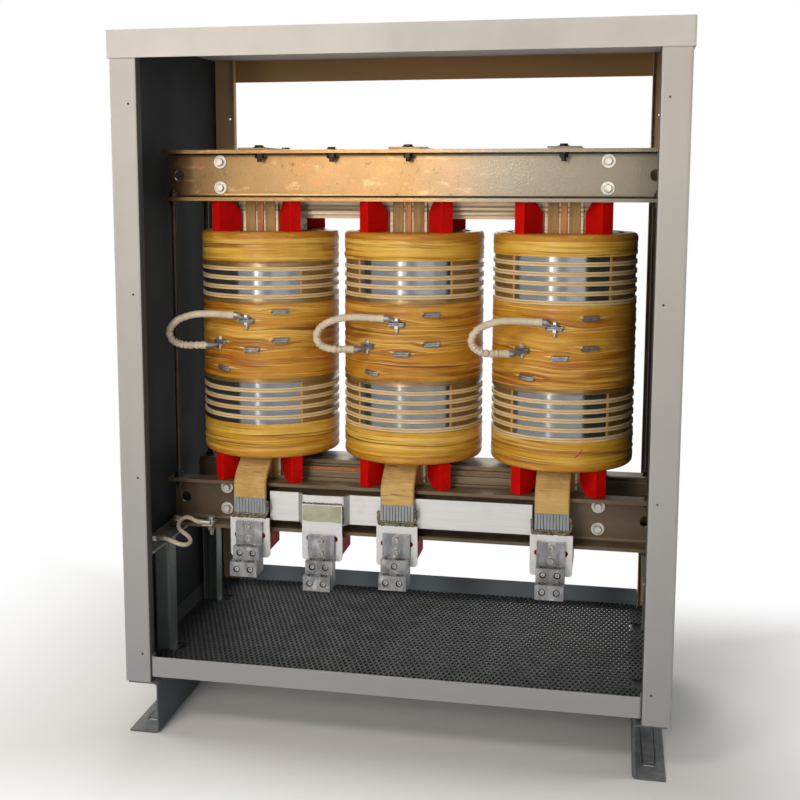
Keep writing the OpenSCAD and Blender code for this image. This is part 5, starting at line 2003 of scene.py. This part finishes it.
@dataclass
class Hardware:
    """Bolts, washers, nuts and other small pieces on clamps, rods and shelves."""

    face_y: float = 0.0896
    flange_y: float = 0.1146
    flange_foot: float = 1.324
    clamp_bolt: Fastener = Fastener(0.0098, 0.0085, 0.0155, 0.0028)
    clamp_nut: Fastener = Fastener(0.0098, 0.0085, 0.0155, 0.0028, 0.007)
    clamp_holes: Pairs = ((0.449, 1.305), (0.449, 1.245), (0.445, 0.521), (0.445, 0.468))
    clamp_spin: float = 23.0
    tie_bolt: Fastener = Fastener(0.0105, 0.0045, 0.014, 0.0016)
    tie_nut: Fastener = Fastener(0.0105, 0.009, 0.0135, 0.0026, 0.008)
    tie_tops: Pairs = ((-0.346, 1.337), (0.0036, 1.337), (0.352, 1.337), (-0.174, 1.332))
    rod_nut: Fastener = Fastener(0.0105, 0.009, 0.013, 0.0025)
    rod_x: float = 0.558
    rod_flanges: Pairs = ((1.21494, 1.22294), (0.54106, 0.54906))
    foot_bolt: Fastener = Fastener(0.0095, 0.008, 0.0135, 0.0025)
    foot_at: Triple = (0.566, 0.116, 0.440)
    strap_fasteners: tuple[tuple[Fastener, Triple, Triple, float], ...] = (
        (Fastener(0.0095, 0.009, 0.013, 0.0025, 0.012), (-0.476, -0.122, 0.432), DOWNWARD, 10.0),
        (Fastener(0.0095, 0.008, 0.013, 0.0025), (-0.476, -0.122, 0.443), UPWARD, 10.0),
        (Fastener(0.0085, 0.007, 0.0105, 0.002), (-0.575, -0.2455, 0.427), UPWARD, 25.0),
    )
    strip_x: Pair = (-0.27, -0.07)
    strip_y: Pair = (0.0714, 0.0731)
    strip_z: Pair = (0.5705, 0.5785)
    strip_edge: float = 0.0004

    def build(self) -> None:
        """Builds each kind of fastener as one piece."""
        self.clamp_bolts()
        self.tie_bolts()
        self.rod_nuts()
        self.foot_bolts()
        self.yoke_strip()

    def clamp_bolts(self) -> None:
        """Bolts through the clamps' webs, with broad washers."""
        draft = Draft()
        spin = 0.0
        for x, z in self.clamp_holes:
            for way, face in CORNERS:
                spin += self.clamp_spin
                kind = self.clamp_nut if face > 0 else self.clamp_bolt
                kind.add(draft, (way * x, face * self.face_y, z), (0, face, 0), spin)
        draft.build("clamp_bolts", [ZINC])

    def tie_bolts(self) -> None:
        """Bolts through the tie plates and the upper clamps' flanges."""
        draft = Draft()
        for face in (-1, 1):
            for x, top in self.tie_tops:
                self.tie_bolt.add(draft, (x, face * self.flange_y, top), UPWARD, 90 * x)
                self.tie_nut.add(draft, (x, face * self.flange_y, self.flange_foot), DOWNWARD, 60 * x)
        draft.build("tie_bolts", [BLACK_BOLT])

    def rod_nuts(self) -> None:
        """Nuts on the tie rods, above and below each flange."""
        draft = Draft()
        for way, face in CORNERS:
            for low, high in self.rod_flanges:
                x, y = way * self.rod_x, face * self.flange_y
                self.rod_nut.add(draft, (x, y, high), UPWARD, 20 * way)
                self.rod_nut.add(draft, (x, y, low), DOWNWARD, 50 * face)
        draft.build("rod_nuts", [BLACK_BOLT])

    def foot_bolts(self) -> None:
        """Bolts on the lower clamps' lower flanges and at the strap's ends."""
        draft = Draft()
        x, y, z = self.foot_at
        for way, face in CORNERS:
            self.foot_bolt.add(draft, (way * x, face * y, z), UPWARD, 15 * way)
        for kind, at, out, spin in self.strap_fasteners:
            kind.add(draft, at, out, spin)
        draft.build("foot_bolts", [ZINC])

    def yoke_strip(self) -> None:
        """A thin strip that lies along a step of the lower yoke, front and rear."""
        draft = Draft()
        for face in (-1, 1):
            y0, y1 = sorted(face * y for y in self.strip_y)
            draft.block((self.strip_x[0], y0, self.strip_z[0]), (self.strip_x[1], y1, self.strip_z[1]))
        draft.build("yoke_strips", [COPPER], bevel=self.strip_edge)


def dress_nodes() -> None:
    """Gives each solid that stays its finish and rounded edges."""
    for name, finish in NODE_FINISHES.items():
        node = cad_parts[name]
        skin = finish.material()
        if not node.material_slots:
            node.data.materials.append(skin)
        for place in node.material_slots:
            place.material = skin
        width = BEVELS.get(name, PLAIN_BEVEL)
        if width:
            soften(node, width)
        LOG.info("node %s: %s", name, finish.name)


def main() -> None:
    """Builds the stage, the cords, then every other piece, logging each one."""
    logging.basicConfig(level=logging.INFO, format="%(name)s %(message)s")
    studio = Studio()
    studio.camera()
    Cords().build()
    studio.floor()
    studio.light()
    dress_nodes()
    Coils().build()
    Terminals().build()
    MeshFloor().build()
    Hardware().build()


if __name__ == "__main__":
    main()
